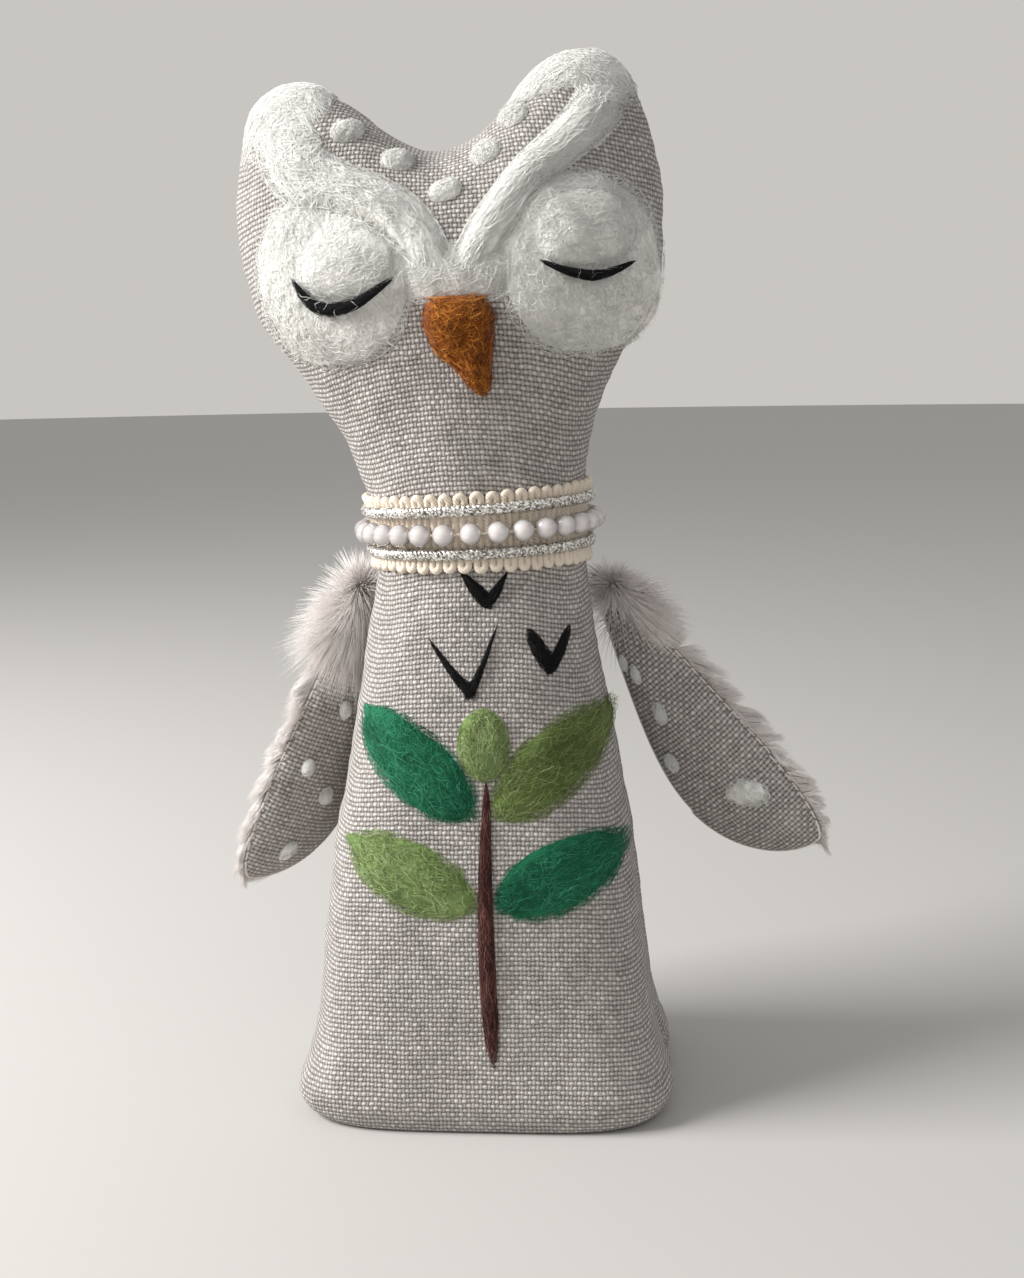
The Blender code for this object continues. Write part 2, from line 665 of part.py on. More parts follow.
# Wings
def wing_size(share, largest, least):
    """Half a wing's width or thickness, from its top at share 0 to its tip at share 1."""
    power = math.log(0.5) / math.log(WING_PEAK_SHARE)
    swell = math.sin(math.pi * min(max(share, 0.0), 1.0) ** power) ** WING_ROUNDING
    blunt = math.sqrt(min(share / WING_BLUNT_SHARE, 1.0) * max(1.0 - share, 0.0))
    return least * blunt + (largest - least) * max(swell, 0.0)


def wing_point(side, share, turn, trim=0.0):
    """A place on a wing's form in the wing's own frame: -Z down its length, Y to its furred face."""
    full = wing_size(share, WING_HALF_WIDTH, WING_TOP_HALF_WIDTH)
    half_width = full - trim
    half_thickness = wing_size(share, WING_HALF_THICKNESS, WING_TOP_HALF_WIDTH / 2.0) - trim
    reach = SHANK_RADIUS + 2.0 * GAP + share * WING_LENGTH
    beyond_peak = WING_HALF_WIDTH - full if share > WING_PEAK_SHARE else 0.0
    out = -WING_EDGE_SHARE * full - WING_TIP_SHARE * beyond_peak + half_width * math.cos(turn)
    return Vector((side * out, half_thickness * math.sin(turn), -reach))


def add_wing_skin(name, side, furred, parent, collection):
    """Make a wing's linen face or its furred back, open where the other face meets it."""
    work = bmesh.new()
    bmesh.ops.create_uvsphere(work, u_segments=14, v_segments=14, radius=1.0)
    sign = 1.0 if furred else -1.0
    bmesh.ops.bisect_plane(
        work, geom=work.verts[:] + work.edges[:] + work.faces[:], dist=MERGE,
        plane_co=(0.0, 0.0, 0.0), plane_no=(0.0, -sign, 0.0), clear_outer=True)
    for vert in work.verts:
        turn = math.atan2(vert.co.y, vert.co.x)
        vert.co = wing_point(side, (1.0 - vert.co.z) / 2.0, turn)
        vert.co.y += sign * SEAM_GAP / 2.0
    turn_outwards(work, Vector((-side * WING_HALF_WIDTH, 0.0, -WING_PEAK_SHARE * WING_LENGTH)))
    look = FUR if furred else LINEN
    skin = add_mesh(name, work, look, collection, parent)
    return thicken(skin, PILE_THICKNESS if furred else CLOTH, outwards=furred)


def add_wing_stuffing(name, side, parent, collection):
    """Fill a wing between its two faces."""
    work = bmesh.new()
    bmesh.ops.create_uvsphere(work, u_segments=10, v_segments=10, radius=1.0)
    for vert in work.verts:
        down = (1.0 - vert.co.z) / 2.0
        share = WING_STUFFING_START_SHARE + (WING_STUFFING_END_SHARE - WING_STUFFING_START_SHARE) * down
        ring = max(1.0 - vert.co.z ** 2, 0.0) ** 0.25
        middle = wing_point(side, share, math.pi / 2.0)
        middle.y = 0.0
        edge = wing_point(side, share, math.atan2(vert.co.y, vert.co.x), STUFFING_INSET)
        vert.co = middle + (edge - middle) * ring
    close_outwards(work)
    return add_mesh(name, work, STUFFING, collection, parent)


def add_shank(name, side, parent, collection):
    """Make the turns of thread that hold a wing off the body."""
    work = bmesh.new()
    bmesh.ops.create_uvsphere(work, u_segments=8, v_segments=6, radius=SHANK_RADIUS)
    for vert in work.verts:
        if vert.co.x * side > MERGE:
            vert.co.x += side * SHANK_LENGTH
    add_mesh(name, work, THREAD, collection, parent)


def build_wing(label, side, tilt, turn, collection):
    """Hang one wing from its shank: the shank swings at the skin and the wing lifts at its end."""
    skin = form_point(side * SHOULDER_TURN, NECK_HEIGHT - SHOULDER_DROP, 0.0, GAP + SHANK_RADIUS)
    swing = bpy.data.objects.new(f"{label}_wing_swing", None)
    swing.location = skin
    collection.objects.link(swing)
    lift = bpy.data.objects.new(f"{label}_wing_lift", None)
    lift.parent = swing
    lift.location = (side * SHANK_LENGTH, 0.0, 0.0)
    tilted = Euler((0.0, -side * tilt, 0.0)).to_quaternion()
    turned = Euler((0.0, 0.0, -side * turn)).to_quaternion()
    lift.rotation_mode = "QUATERNION"
    lift.rotation_quaternion = tilted @ turned
    collection.objects.link(lift)
    add_shank(f"{label}_wing_shank", side, swing, collection)
    add_wing_skin(f"{label}_wing_linen", side, False, lift, collection)
    add_wing_skin(f"{label}_wing_fur", side, True, lift, collection)
    add_wing_stuffing(f"{label}_wing_stuffing", side, lift, collection)


def main():
    """Build the owl in its own collection."""
    clear_scene()
    collection = bpy.data.collections.new("linen_owl")
    bpy.context.scene.collection.children.link(collection)
    build_body(collection)
    build_collar(collection)
    build_face(collection)
    build_felt_work(collection)
    build_wing("left", -1.0, LEFT_WING_TILT, LEFT_WING_TURN, collection)
    build_wing("right", 1.0, RIGHT_WING_TILT, RIGHT_WING_TURN, collection)


main()
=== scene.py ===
"""Looks of a stuffed linen owl: its cloth, wool, fur, collar and studio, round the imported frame.

Metres, +Z up. The owl looks along -Y and stands on Z = 0. Its outer form is worked out from the
same sizes as the frame's solids, and each piece takes the place of the solids that it dresses.
"""
from __future__ import annotations

import json
import logging
import math
from dataclasses import dataclass, field
from enum import Enum
from typing import Callable, Sequence

import bmesh
import bpy
import numpy as np
from mathutils import Euler, Matrix, Vector


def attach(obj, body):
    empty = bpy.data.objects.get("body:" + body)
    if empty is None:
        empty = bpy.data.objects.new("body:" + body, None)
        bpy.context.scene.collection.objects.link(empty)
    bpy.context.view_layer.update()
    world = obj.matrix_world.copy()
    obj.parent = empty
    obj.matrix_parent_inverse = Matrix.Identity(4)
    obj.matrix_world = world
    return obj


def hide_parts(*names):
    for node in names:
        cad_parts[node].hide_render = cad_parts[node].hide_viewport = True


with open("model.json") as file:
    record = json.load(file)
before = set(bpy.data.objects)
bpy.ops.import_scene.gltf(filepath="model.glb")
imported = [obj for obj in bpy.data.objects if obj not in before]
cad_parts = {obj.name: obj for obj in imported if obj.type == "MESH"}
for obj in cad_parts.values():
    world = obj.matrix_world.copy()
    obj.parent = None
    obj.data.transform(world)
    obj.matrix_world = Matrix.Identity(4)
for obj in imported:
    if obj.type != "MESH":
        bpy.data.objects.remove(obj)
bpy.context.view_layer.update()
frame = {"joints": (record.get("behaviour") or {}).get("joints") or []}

MM = 0.001
FRONT = 0.0
BACK = math.pi
Array = np.ndarray
Socket = bpy.types.NodeSocket
log = logging.getLogger("owl")


class Body(Enum):
    """The bodies of the frame that pieces ride on."""

    OWL = "owl_body"
    LEFT_SHANK = "left_shank"
    LEFT_WING = "left_wing"
    RIGHT_SHANK = "right_shank"
    RIGHT_WING = "right_wing"


class Side(Enum):
    """The owl's two sides as the front shows them: left is towards -X."""

    LEFT = -1.0
    RIGHT = 1.0

    @property
    def label(self) -> str:
        """The side's name in the names of pieces."""
        return self.name.lower()


def unit(rows: Array) -> Array:
    """Scale vectors to length one.

    Args:
        rows: Vectors along the last axis.

    Returns:
        The same vectors, each one long.
    """
    return rows / np.maximum(np.linalg.norm(rows, axis=-1, keepdims=True), 1e-12)


def smooth_step(share: Array) -> Array:
    """Ease shares from 0 to 1 with level ends."""
    share = np.clip(share, 0.0, 1.0)
    return share * share * (3.0 - 2.0 * share)


def linear(code: str) -> tuple[float, float, float, float]:
    """Turn a screen colour such as B0A8A2 into a linear one.

    Args:
        code: Six hexadecimal digits.

    Returns:
        Red, green, blue and an alpha of 1.
    """
    parts = [int(code[k:k + 2], 16) / 255.0 for k in (0, 2, 4)]
    values = [((p + 0.055) / 1.055) ** 2.4 if p > 0.04045 else p / 12.92 for p in parts]
    return (*values, 1.0)


@dataclass
class Ripples:
    """Smooth unevenness: a fixed sum of waves in all directions, mostly between -1 and 1."""

    wavelength: float
    seed: int
    waves: int = 9
    pulls: Array = field(init=False, repr=False)
    phases: Array = field(init=False, repr=False)

    def __post_init__(self) -> None:
        """Draw the waves' directions, lengths and phases."""
        draw = np.random.default_rng(self.seed)
        lengths = self.wavelength * draw.uniform(0.6, 1.6, (self.waves, 1))
        self.pulls = unit(draw.normal(size=(self.waves, 3))) * 2.0 * math.pi / lengths
        self.phases = draw.uniform(0.0, 2.0 * math.pi, self.waves)

    def at(self, points: Array) -> Array:
        """Read the unevenness at points."""
        return np.sin(points @ self.pulls.T + self.phases).sum(axis=-1) / math.sqrt(2.0 * self.waves)


# Form
@dataclass
class OwlForm:
    """The owl's outer form: round sections stacked from floor to crown, which close to a top seam."""

    foot_half_width: float = 42.2 * MM
    foot_half_depth: float = 30.5 * MM
    neck_half_width: float = 22.8 * MM
    neck_half_depth: float = 20.5 * MM
    head_half_width: float = 45.6 * MM
    head_half_depth: float = 25.2 * MM
    neck_height: float = 128.0 * MM
    head_height: float = 86.0 * MM
    ear_rise: float = 10.5 * MM
    notch_dip: float = 5.6 * MM
    foot_squareness: float = 5.0
    round_squareness: float = 2.1
    head_lean: float = math.radians(4.5)
    crown_share: float = 0.605
    ear_tip_share: float = 0.70
    lean_start_share: float = 0.82
    lean_end_share: float = 1.17
    lump_height: float = 0.28 * MM
    body_swell_shares: tuple = (
        (0.000, 0.84, 0.86), (0.020, 0.955, 0.96), (0.045, 1.00, 1.00), (0.094, 0.89, 0.93),
        (0.156, 0.79, 0.86), (0.250, 0.71, 0.78), (0.469, 0.54, 0.60), (0.742, 0.225, 0.35),
        (1.000, 0.00, 0.00),
    )
    head_swell_shares: tuple = (
        (0.198, 0.122, 0.17), (0.395, 0.463, 0.64), (0.605, 0.926, 1.00), (0.779, 1.00, 0.85),
        (1.000, 0.838, 0.53),
    )
    heights: Array = field(init=False, repr=False)
    sections: list[Array] = field(init=False, repr=False)
    swells: tuple[Ripples, Ripples] = field(init=False, repr=False)

    def __post_init__(self) -> None:
        """Read the stations once, finely, along curves that never overshoot."""
        self.swells = (Ripples(16.0 * MM, 11), Ripples(6.0 * MM, 12))
        stations = self._stations()
        self.heights = np.linspace(stations[0, 0], stations[-1, 0], 4001)
        self.sections = [self._curve(stations[:, 0], stations[:, k]) for k in (1, 2, 3)]

    def _stations(self) -> Array:
        """List height, half width, half depth and squareness from the floor to the ear corners."""
        rows = []
        for height, wide, deep in self.body_swell_shares:
            rows.append((
                height * self.neck_height,
                self.neck_half_width + (self.foot_half_width - self.neck_half_width) * wide,
                self.neck_half_depth + (self.foot_half_depth - self.neck_half_depth) * deep,
                self.round_squareness + (self.foot_squareness - self.round_squareness) * wide ** 1.6,
            ))
        for height, wide, deep in self.head_swell_shares:
            rows.append((
                self.neck_height + height * self.head_height,
                self.neck_half_width + (self.head_half_width - self.neck_half_width) * wide,
                self.neck_half_depth + (self.head_half_depth - self.neck_half_depth) * deep,
                self.round_squareness,
            ))
        return np.array(rows)

    def _curve(self, heights: Array, values: Array) -> Array:
        """Run a smooth curve through one column of the stations, read at the fine heights."""
        steps = np.diff(values) / np.diff(heights)
        before, after = steps[:-1], steps[1:]
        turning = before * after <= 0.0
        even = 2.0 * before * after / np.where(turning, 1.0, before + after)
        slopes = np.concatenate([steps[:1], np.where(turning, 0.0, even), steps[-1:]])
        here = np.clip(np.searchsorted(heights, self.heights, side="right") - 1, 0, len(steps) - 1)
        span = heights[here + 1] - heights[here]
        t = (self.heights - heights[here]) / span
        rise = 3.0 * t ** 2 - 2.0 * t ** 3
        leave = (t ** 3 - 2.0 * t ** 2 + t) * span * slopes[here]
        arrive = (t ** 3 - t ** 2) * span * slopes[here + 1]
        return values[here] + rise * (values[here + 1] - values[here]) + leave + arrive

    @property
    def crown_height(self) -> float:
        """Where the head starts to close."""
        return self.neck_height + self.crown_share * self.head_height

    @property
    def corner_height(self) -> float:
        """Where the ears' seam starts to rise and dip."""
        return self.neck_height + self.head_height

    def section(self, column: int, level: Array) -> Array:
        """Read half width (0), half depth (1) or squareness (2) at heights."""
        return np.interp(level, self.heights, self.sections[column])

    def ear_line(self, across: Array) -> Array:
        """Height of the top seam over the corners: a dip in the middle and two round ears."""
        side = np.minimum(np.abs(across), 1.0)
        climb = (1.0 - np.cos(math.pi * side / self.ear_tip_share)) / 2.0
        fall = (side - self.ear_tip_share) / (1.0 - self.ear_tip_share)
        ear = self.ear_rise * np.sqrt(np.maximum(1.0 - np.clip(fall, 0.0, 1.0) ** 2, 0.0))
        rising = -self.notch_dip + (self.ear_rise + self.notch_dip) * climb
        return np.where(side < self.ear_tip_share, rising, ear)

    def leaned(self, x: Array, y: Array, z: Array) -> Array:
        """Carry places on the upright owl to the leaning one."""
        start = self.lean_start_share * self.neck_height
        end = self.lean_end_share * self.neck_height
        angle = self.head_lean * smooth_step((z - start) / (end - start))
        rise = z - self.neck_height
        return np.stack([
            x * np.cos(angle) - rise * np.sin(angle),
            y + 0.0 * x,
            self.neck_height + x * np.sin(angle) + rise * np.cos(angle),
        ], axis=-1)

    def surface(self, turn: Array, height: Array, closing: Array = 0.0, proud: Array = 0.0) -> Array:
        """Find places on the outer form.

        Args:
            turn: Way round from 0 at the front, in radians.
            height: Height up to the crown.
            closing: How far the crown has closed, 0 at its start to 1 at the top seam.
            proud: Distance out of the form.

        Returns:
            Points on the leaning owl.
        """
        over = np.sin(closing * math.pi / 2.0)
        level = height + (self.corner_height - self.crown_height) * over
        power = 2.0 / self.section(2, level)
        across = np.sign(np.sin(turn)) * np.abs(np.sin(turn)) ** power
        along = np.sign(np.cos(turn)) * np.abs(np.cos(turn)) ** power
        top = self.ear_line(across) * over ** 1.5 + 1.5 * proud * over
        wide = self.section(0, level) + proud
        deep = self.section(1, level) + proud
        return self.leaned(wide * across, -deep * along * np.cos(closing * math.pi / 2.0), level + top)

    def front(self, x: Array, z: Array) -> Array:
        """Find the places on the front's cloth that show at x and z on the upright owl."""
        low, high = np.zeros_like(x), np.where(z > self.crown_height, 1.0, 0.0)
        for _ in range(30):
            middle = (low + high) / 2.0
            over = np.sin(middle * math.pi / 2.0)
            level = self.crown_height + (self.corner_height - self.crown_height) * over
            level = level + self.ear_line(x / self.section(0, level)) * over ** 1.5
            low, high = np.where(level < z, middle, low), np.where(level < z, high, middle)
        over = np.sin(low * math.pi / 2.0)
        level = np.minimum(z, self.crown_height) + (self.corner_height - self.crown_height) * over
        squareness = self.section(2, level)
        across = np.minimum(np.abs(x) / self.section(0, level), 0.998)
        along = (1.0 - across ** squareness) ** (1.0 / squareness)
        depth = self.section(1, level) * along * np.cos(low * math.pi / 2.0)
        return self.leaned(x, -depth, z)

    def lumps(self, points: Array) -> Array:
        """How far the stuffing pushes the cloth out at places on the form."""
        return self.lump_height * (self.swells[0].at(points) + 0.4 * self.swells[1].at(points))

    def above_front(self, x: Array, z: Array, proud: Array) -> Array:
        """Find places above the front's cloth, measured along its normal."""
        step = 0.2 * MM
        right = self.front(x + step, z) - self.front(x - step, z)
        up = self.front(x, z + step) - self.front(x, z - step)
        cloth = self.front(x, z)
        return cloth + unit(np.cross(right, up)) * (self.lumps(cloth) + proud)[..., None]

    def head_place(self, across_share: float, rise_share: float) -> tuple[float, float]:
        """A place on the upright head, from shares of its half width and of its height."""
        return across_share * self.head_half_width, self.neck_height + rise_share * self.head_height

    def body_place(self, across_share: float, rise_share: float) -> tuple[float, float]:
        """A place on the body, from shares of the foot's half width and of the neck's height."""
        return across_share * self.foot_half_width, rise_share * self.neck_height


# Finishes
class Desk:
    """A short hand for placing the nodes of one tree and joining them."""

    def __init__(self, tree: bpy.types.NodeTree) -> None:
        """Work on this tree."""
        self.tree = tree

    def feed(self, node: bpy.types.Node, inputs: dict[str | int, object]) -> bpy.types.Node:
        """Join sockets to a node's inputs, or set the inputs to values.

        Args:
            node: The node.
            inputs: Sockets or values, by the inputs' names or numbers.

        Returns:
            The node.
        """
        for key, term in inputs.items():
            if isinstance(term, Socket):
                self.tree.links.new(term, node.inputs[key])
            else:
                node.inputs[key].default_value = term
        return node

    def node(self, kind: str, inputs: dict[str | int, object] | None = None,
             **settings: object) -> bpy.types.Node:
        """Place a node.

        Args:
            kind: The node's type, without its ShaderNode prefix.
            inputs: Sockets or values for its inputs.
            settings: Values of its properties.

        Returns:
            The node.
        """
        made = self.tree.nodes.new("ShaderNode" + kind)
        for name, value in settings.items():
            setattr(made, name, value)
        return self.feed(made, inputs or {})

    def maths(self, operation: str, *terms: object) -> Socket:
        """Work out a number from sockets and values."""
        return self.node("Math", dict(enumerate(terms)), operation=operation).outputs[0]

    def scaled(self, term: object, gain: object, base: object) -> Socket:
        """Multiply a number by a gain and add a base."""
        return self.maths("MULTIPLY_ADD", term, gain, base)

    def vector(self, operation: str, *terms: object) -> Socket:
        """Work out a vector from sockets and values."""
        return self.node("VectorMath", dict(enumerate(terms)), operation=operation).outputs[0]

    def ramp(self, factor: Socket, *stops: tuple[float, str]) -> Socket:
        """Turn a number into a colour by stops of place and screen colour."""
        made = self.node("ValToRGB", {"Fac": factor})
        band = made.color_ramp.elements
        for end in (0, -1):
            place, code = stops[end]
            band[abs(end)].position, band[abs(end)].color = place, linear(code)
        for place, code in stops[1:-1]:
            band.new(place).color = linear(code)
        return made.outputs["Color"]


def open_group(name: str, inputs: dict[str, float | None],
               outputs: Sequence[str]) -> tuple[Desk, dict[str, Socket], bpy.types.Node]:
    """Start a node group.

    Args:
        name: The group's name.
        inputs: Names and first values of its inputs; None makes a vector input.
        outputs: Names of its number outputs.

    Returns:
        The desk, what the group is given by name, and the node that takes its results.
    """
    tree = bpy.data.node_groups.new(name, "ShaderNodeTree")
    for label, value in inputs.items():
        kind = "NodeSocketVector" if value is None else "NodeSocketFloat"
        slot = tree.interface.new_socket(name=label, in_out="INPUT", socket_type=kind)
        if value is not None:
            slot.default_value = value
    for label in outputs:
        tree.interface.new_socket(name=label, in_out="OUTPUT", socket_type="NodeSocketFloat")
    start = tree.nodes.new("NodeGroupInput")
    end = tree.nodes.new("NodeGroupOutput")
    return Desk(tree), {socket.name: socket for socket in start.outputs}, end


def plain_weave_group() -> bpy.types.NodeTree:
    """Make the plain weave: threads that pass over and under each other, uneven and slubbed.

    Returns:
        A group with the height of the threads and a tint that changes from thread to thread.
    """
    sway_scale, thinning = 300.0, (-0.55, 1.30)
    warp_level, warp_height, weft_level = 0.52, 0.78, 0.60
    lane_step, slub_stretch, weft_offset = 7.31, 0.13, 53.0
    thread_share, crossing_share, drop, upper_gain = 0.70, 0.30, -0.08, 0.15
    thickness_gain, least_thickness = 0.5, 0.75
    desk, given, results = open_group(
        "plain_weave", {"Vector": None, "Warp Pitch": 0.0009, "Weft Pitch": 0.0012, "Wobble": 0.0003},
        ("Height", "Tint"))
    sway = desk.node("TexNoise", {"Vector": given["Vector"], "Scale": sway_scale, "Detail": 3.0})
    centred = desk.vector("SUBTRACT", sway.outputs["Color"], (0.5, 0.5, 0.5))
    swayed = desk.node("VectorMath", {0: centred, "Scale": given["Wobble"]}, operation="SCALE")
    moved = desk.vector("ADD", given["Vector"], swayed.outputs[0])
    place = desk.node("SeparateXYZ", {"Vector": moved})
    warp = desk.maths("DIVIDE", place.outputs["X"], given["Warp Pitch"])
    weft = desk.maths("DIVIDE", place.outputs["Y"], given["Weft Pitch"])

    def rounded(run: Socket, shade: Socket) -> Socket:
        """The thread's round back across its run: darker threads are thinner and leave holes."""
        off = desk.scaled(desk.maths("FRACT", run), 2.0, -1.0)
        off = desk.maths("MULTIPLY", off, desk.scaled(shade, *thinning))
        return desk.maths("MAXIMUM", desk.maths("SUBTRACT", 1.0, desk.maths("MULTIPLY", off, off)), 0.0)

    def lifted(across: Socket, along: Socket, sign: float, shade: Socket, level: float) -> Socket:
        """The thread's rise over and dip under the threads that cross it."""
        phase = desk.maths("MULTIPLY", desk.maths("ADD", along, desk.maths("FLOOR", across)), math.pi)
        wave = desk.maths("MULTIPLY", desk.maths("SINE", phase), (1.0 - level) * sign)
        return desk.maths("MULTIPLY", rounded(across, shade), desk.maths("ADD", wave, level))

    def slub(across: Socket, along: Socket, offset: float) -> Socket:
        """A thread's own shade, which changes slowly along it."""
        lane = desk.maths("MULTIPLY", desk.maths("FLOOR", across), lane_step)
        spot = desk.node("CombineXYZ", {"X": lane, "Y": desk.scaled(along, slub_stretch, offset)})
        noise = desk.node("TexNoise", {"Vector": spot.outputs[0], "Scale": 1.0, "Detail": 1.0})
        return noise.outputs["Fac"]

    shade_warp, shade_weft = slub(warp, weft, 0.0), slub(weft, warp, weft_offset)
    over_warp = desk.maths("MULTIPLY", lifted(warp, weft, 1.0, shade_warp, warp_level), warp_height)
    over_weft = lifted(weft, warp, -1.0, shade_weft, weft_level)
    upper = desk.maths("GREATER_THAN", over_weft, over_warp)
    gain = desk.maths("MULTIPLY", upper, desk.maths("SUBTRACT", shade_weft, shade_warp))
    cell = desk.node("CombineXYZ", {"X": desk.maths("FLOOR", warp), "Y": desk.maths("FLOOR", weft)})
    crossing = desk.node("TexWhiteNoise", {"Vector": cell.outputs[0]}).outputs["Value"]
    tint = desk.scaled(desk.maths("ADD", shade_warp, gain), thread_share,
                       desk.scaled(crossing, crossing_share, drop))
    tint = desk.scaled(upper, upper_gain, tint)
    thick = desk.scaled(tint, thickness_gain, least_thickness)
    height = desk.maths("MULTIPLY", desk.maths("MAXIMUM", over_warp, over_weft), thick)
    desk.feed(results, {"Height": height, "Tint": tint})
    return desk.tree


def mottle_group() -> bpy.types.NodeTree:
    """Make soft patches with finer grain in them, for dust, handling and uneven dye."""
    fineness = 14.0
    desk, given, results = open_group("mottle", {"Vector": None, "Scale": 60.0}, ("Value", "Grain"))
    patches = desk.node("TexNoise", {"Vector": given["Vector"], "Scale": given["Scale"], "Detail": 3.0})
    fine = desk.maths("MULTIPLY", given["Scale"], fineness)
    grain = desk.node("TexNoise", {"Vector": given["Vector"], "Scale": fine, "Detail": 2.0})
    desk.feed(results, {"Value": patches.outputs["Fac"], "Grain": grain.outputs["Fac"]})
    return desk.tree


class Effects:
    """The node groups that several finishes share, each built once."""

    def __init__(self) -> None:
        """Build the groups."""
        self.weave = plain_weave_group()
        self.mottle = mottle_group()

    def patches(self, desk: Desk, scale: float) -> tuple[Socket, Socket]:
        """Place the mottle in Object coordinates, and give its patches and its grain."""
        place = desk.node("TexCoord").outputs["Object"]
        made = desk.node("Group", {"Vector": place, "Scale": scale}, node_tree=self.mottle)
        return made.outputs["Value"], made.outputs["Grain"]


def open_material(name: str) -> tuple[bpy.types.Material, Desk, bpy.types.Node]:
    """Start a material.

    Args:
        name: The material's name.

    Returns:
        The material, a desk on its nodes and its Principled shader.
    """
    material = bpy.data.materials.new(name)
    material.use_nodes = True
    return material, Desk(material.node_tree), material.node_tree.nodes["Principled BSDF"]


def add_bump(desk: Desk, shader: bpy.types.Node, height: Socket, distance: float, strength: float) -> None:
    """Let a height bend the shader's normal.

    Args:
        desk: The material's desk.
        shader: The shader to bend.
        height: The height, from 0 to 1.
        distance: What a height of 1 stands for, in metres.
        strength: How much of it shows.
    """
    bump = desk.node("Bump", {"Height": height, "Distance": distance, "Strength": strength})
    desk.feed(shader, {"Normal": bump.outputs["Normal"]})


@dataclass(frozen=True)
class Linen:
    """Woven linen: pale threads, darker towards the gaps between them as painted shade, and lighter on their
    crests as a painted highlight.
    """

    name: str
    # The gap colour is painted shade in the holes between the threads, and the crest colour is a painted
    # highlight on their tops.
    gap: str
    thread: str
    crest: str
    warp_pitch: float = 0.88 * MM
    weft_pitch: float = 1.05 * MM
    relief: float = 0.42 * MM
    wobble_share: float = 0.85
    patch_scale: float = 45.0

    def build(self, effects: Effects) -> bpy.types.Material:
        """Make the material from the piece's own UV map, which is in metres."""
        material, desk, shader = open_material(self.name)
        cloth = desk.node("Group", {
            "Vector": desk.node("UVMap").outputs["UV"], "Warp Pitch": self.warp_pitch,
            "Weft Pitch": self.weft_pitch, "Wobble": self.wobble_share * self.warp_pitch,
        }, node_tree=effects.weave)
        height = cloth.outputs["Height"]
        # The colour follows the threads' height: painted shade in the gaps, the thread colour on their sides
        # and a painted highlight on their crests.
        threads = desk.ramp(height, (0.10, self.gap), (0.42, self.thread), (1.00, self.crest))
        dust, _ = effects.patches(desk, self.patch_scale)
        shade = desk.scaled(cloth.outputs["Tint"], 0.55, 0.70)
        shade = desk.maths("MULTIPLY", shade, desk.scaled(dust, 0.22, 0.90))
        grey = desk.node("CombineXYZ", {"X": shade, "Y": shade, "Z": shade}).outputs[0]
        dyed = desk.node("Mix", {"Factor": 1.0, 6: threads, 7: grey}, data_type="RGBA",
                         blend_type="MULTIPLY")
        desk.feed(shader, {
            "Base Color": dyed.outputs[2], "Roughness": desk.scaled(height, -0.12, 0.96),
            "Specular IOR Level": 0.25, "Sheen Weight": 0.12,
        })
        add_bump(desk, shader, height, self.relief, 0.9)
        return material


@dataclass(frozen=True)
class Wool:
    """Felted wool or pile: every fibre has its own shade, and the colour darkens towards each fibre's root
    as painted shade among the fibres.
    """

    name: str
    deep: str
    main: str
    pale: str
    roughness: float = 0.95
    sheen: float = 0.2
    patch_scale: float = 90.0
    variety: float = 0.42
    grain_depth: float = 0.25 * MM

    def build(self, effects: Effects) -> bpy.types.Material:
        """Make the material from the tint and reach that each fibre carries."""
        material, desk, shader = open_material(self.name)
        tint = desk.node("Attribute", attribute_name="tint").outputs["Fac"]
        reach = desk.node("Attribute", attribute_name="reach").outputs["Fac"]
        patches, grain = effects.patches(desk, self.patch_scale)
        # The colour rises with reach, so it darkens towards each fibre's root: painted shade among the
        # fibres.
        fibre = desk.scaled(tint, self.variety, desk.maths("MULTIPLY", reach, 0.15))
        mixed = desk.maths("ADD", fibre, desk.scaled(patches, 0.6, 0.15 - 0.5 * self.variety))
        desk.feed(shader, {
            "Base Color": desk.ramp(mixed, (0.1, self.deep), (0.5, self.main), (0.9, self.pale)),
            "Roughness": desk.scaled(grain, -0.1, self.roughness),
            "Specular IOR Level": 0.2, "Sheen Weight": self.sheen,
        })
        add_bump(desk, shader, grain, self.grain_depth, 0.6)
        return material


@dataclass(frozen=True)
class SatinThread:
    """Twisted satin thread: fine slanting plies with a soft shine, and painted shade in the grooves between
    them.
    """

    name: str
    deep: str
    main: str
    roughness: float = 0.55
    ply_scale: float = 900.0
    ply_depth: float = 0.08 * MM

    def build(self, effects: Effects) -> bpy.types.Material:
        """Make the material from Object coordinates."""
        material, desk, shader = open_material(self.name)
        wave = {"Vector": desk.node("TexCoord").outputs["Object"], "Scale": self.ply_scale,
                "Distortion": 3.0, "Detail": 1.0}
        plies = desk.node("TexWave", wave, bands_direction="DIAGONAL").outputs["Fac"]
        patches, _ = effects.patches(desk, 120.0)
        # The colour follows the plies, the same waves as the bump, so it darkens where they dip: painted
        # shade in the grooves between the plies.
        mixed = desk.scaled(patches, 0.6, desk.scaled(plies, 0.45, 0.15))
        desk.feed(shader, {
            "Base Color": desk.ramp(mixed, (0.2, self.deep), (0.75, self.main)),
            "Roughness": desk.scaled(plies, -0.12, self.roughness), "Sheen Weight": 0.15,
        })
        add_bump(desk, shader, plies, self.ply_depth, 0.7)
        return material


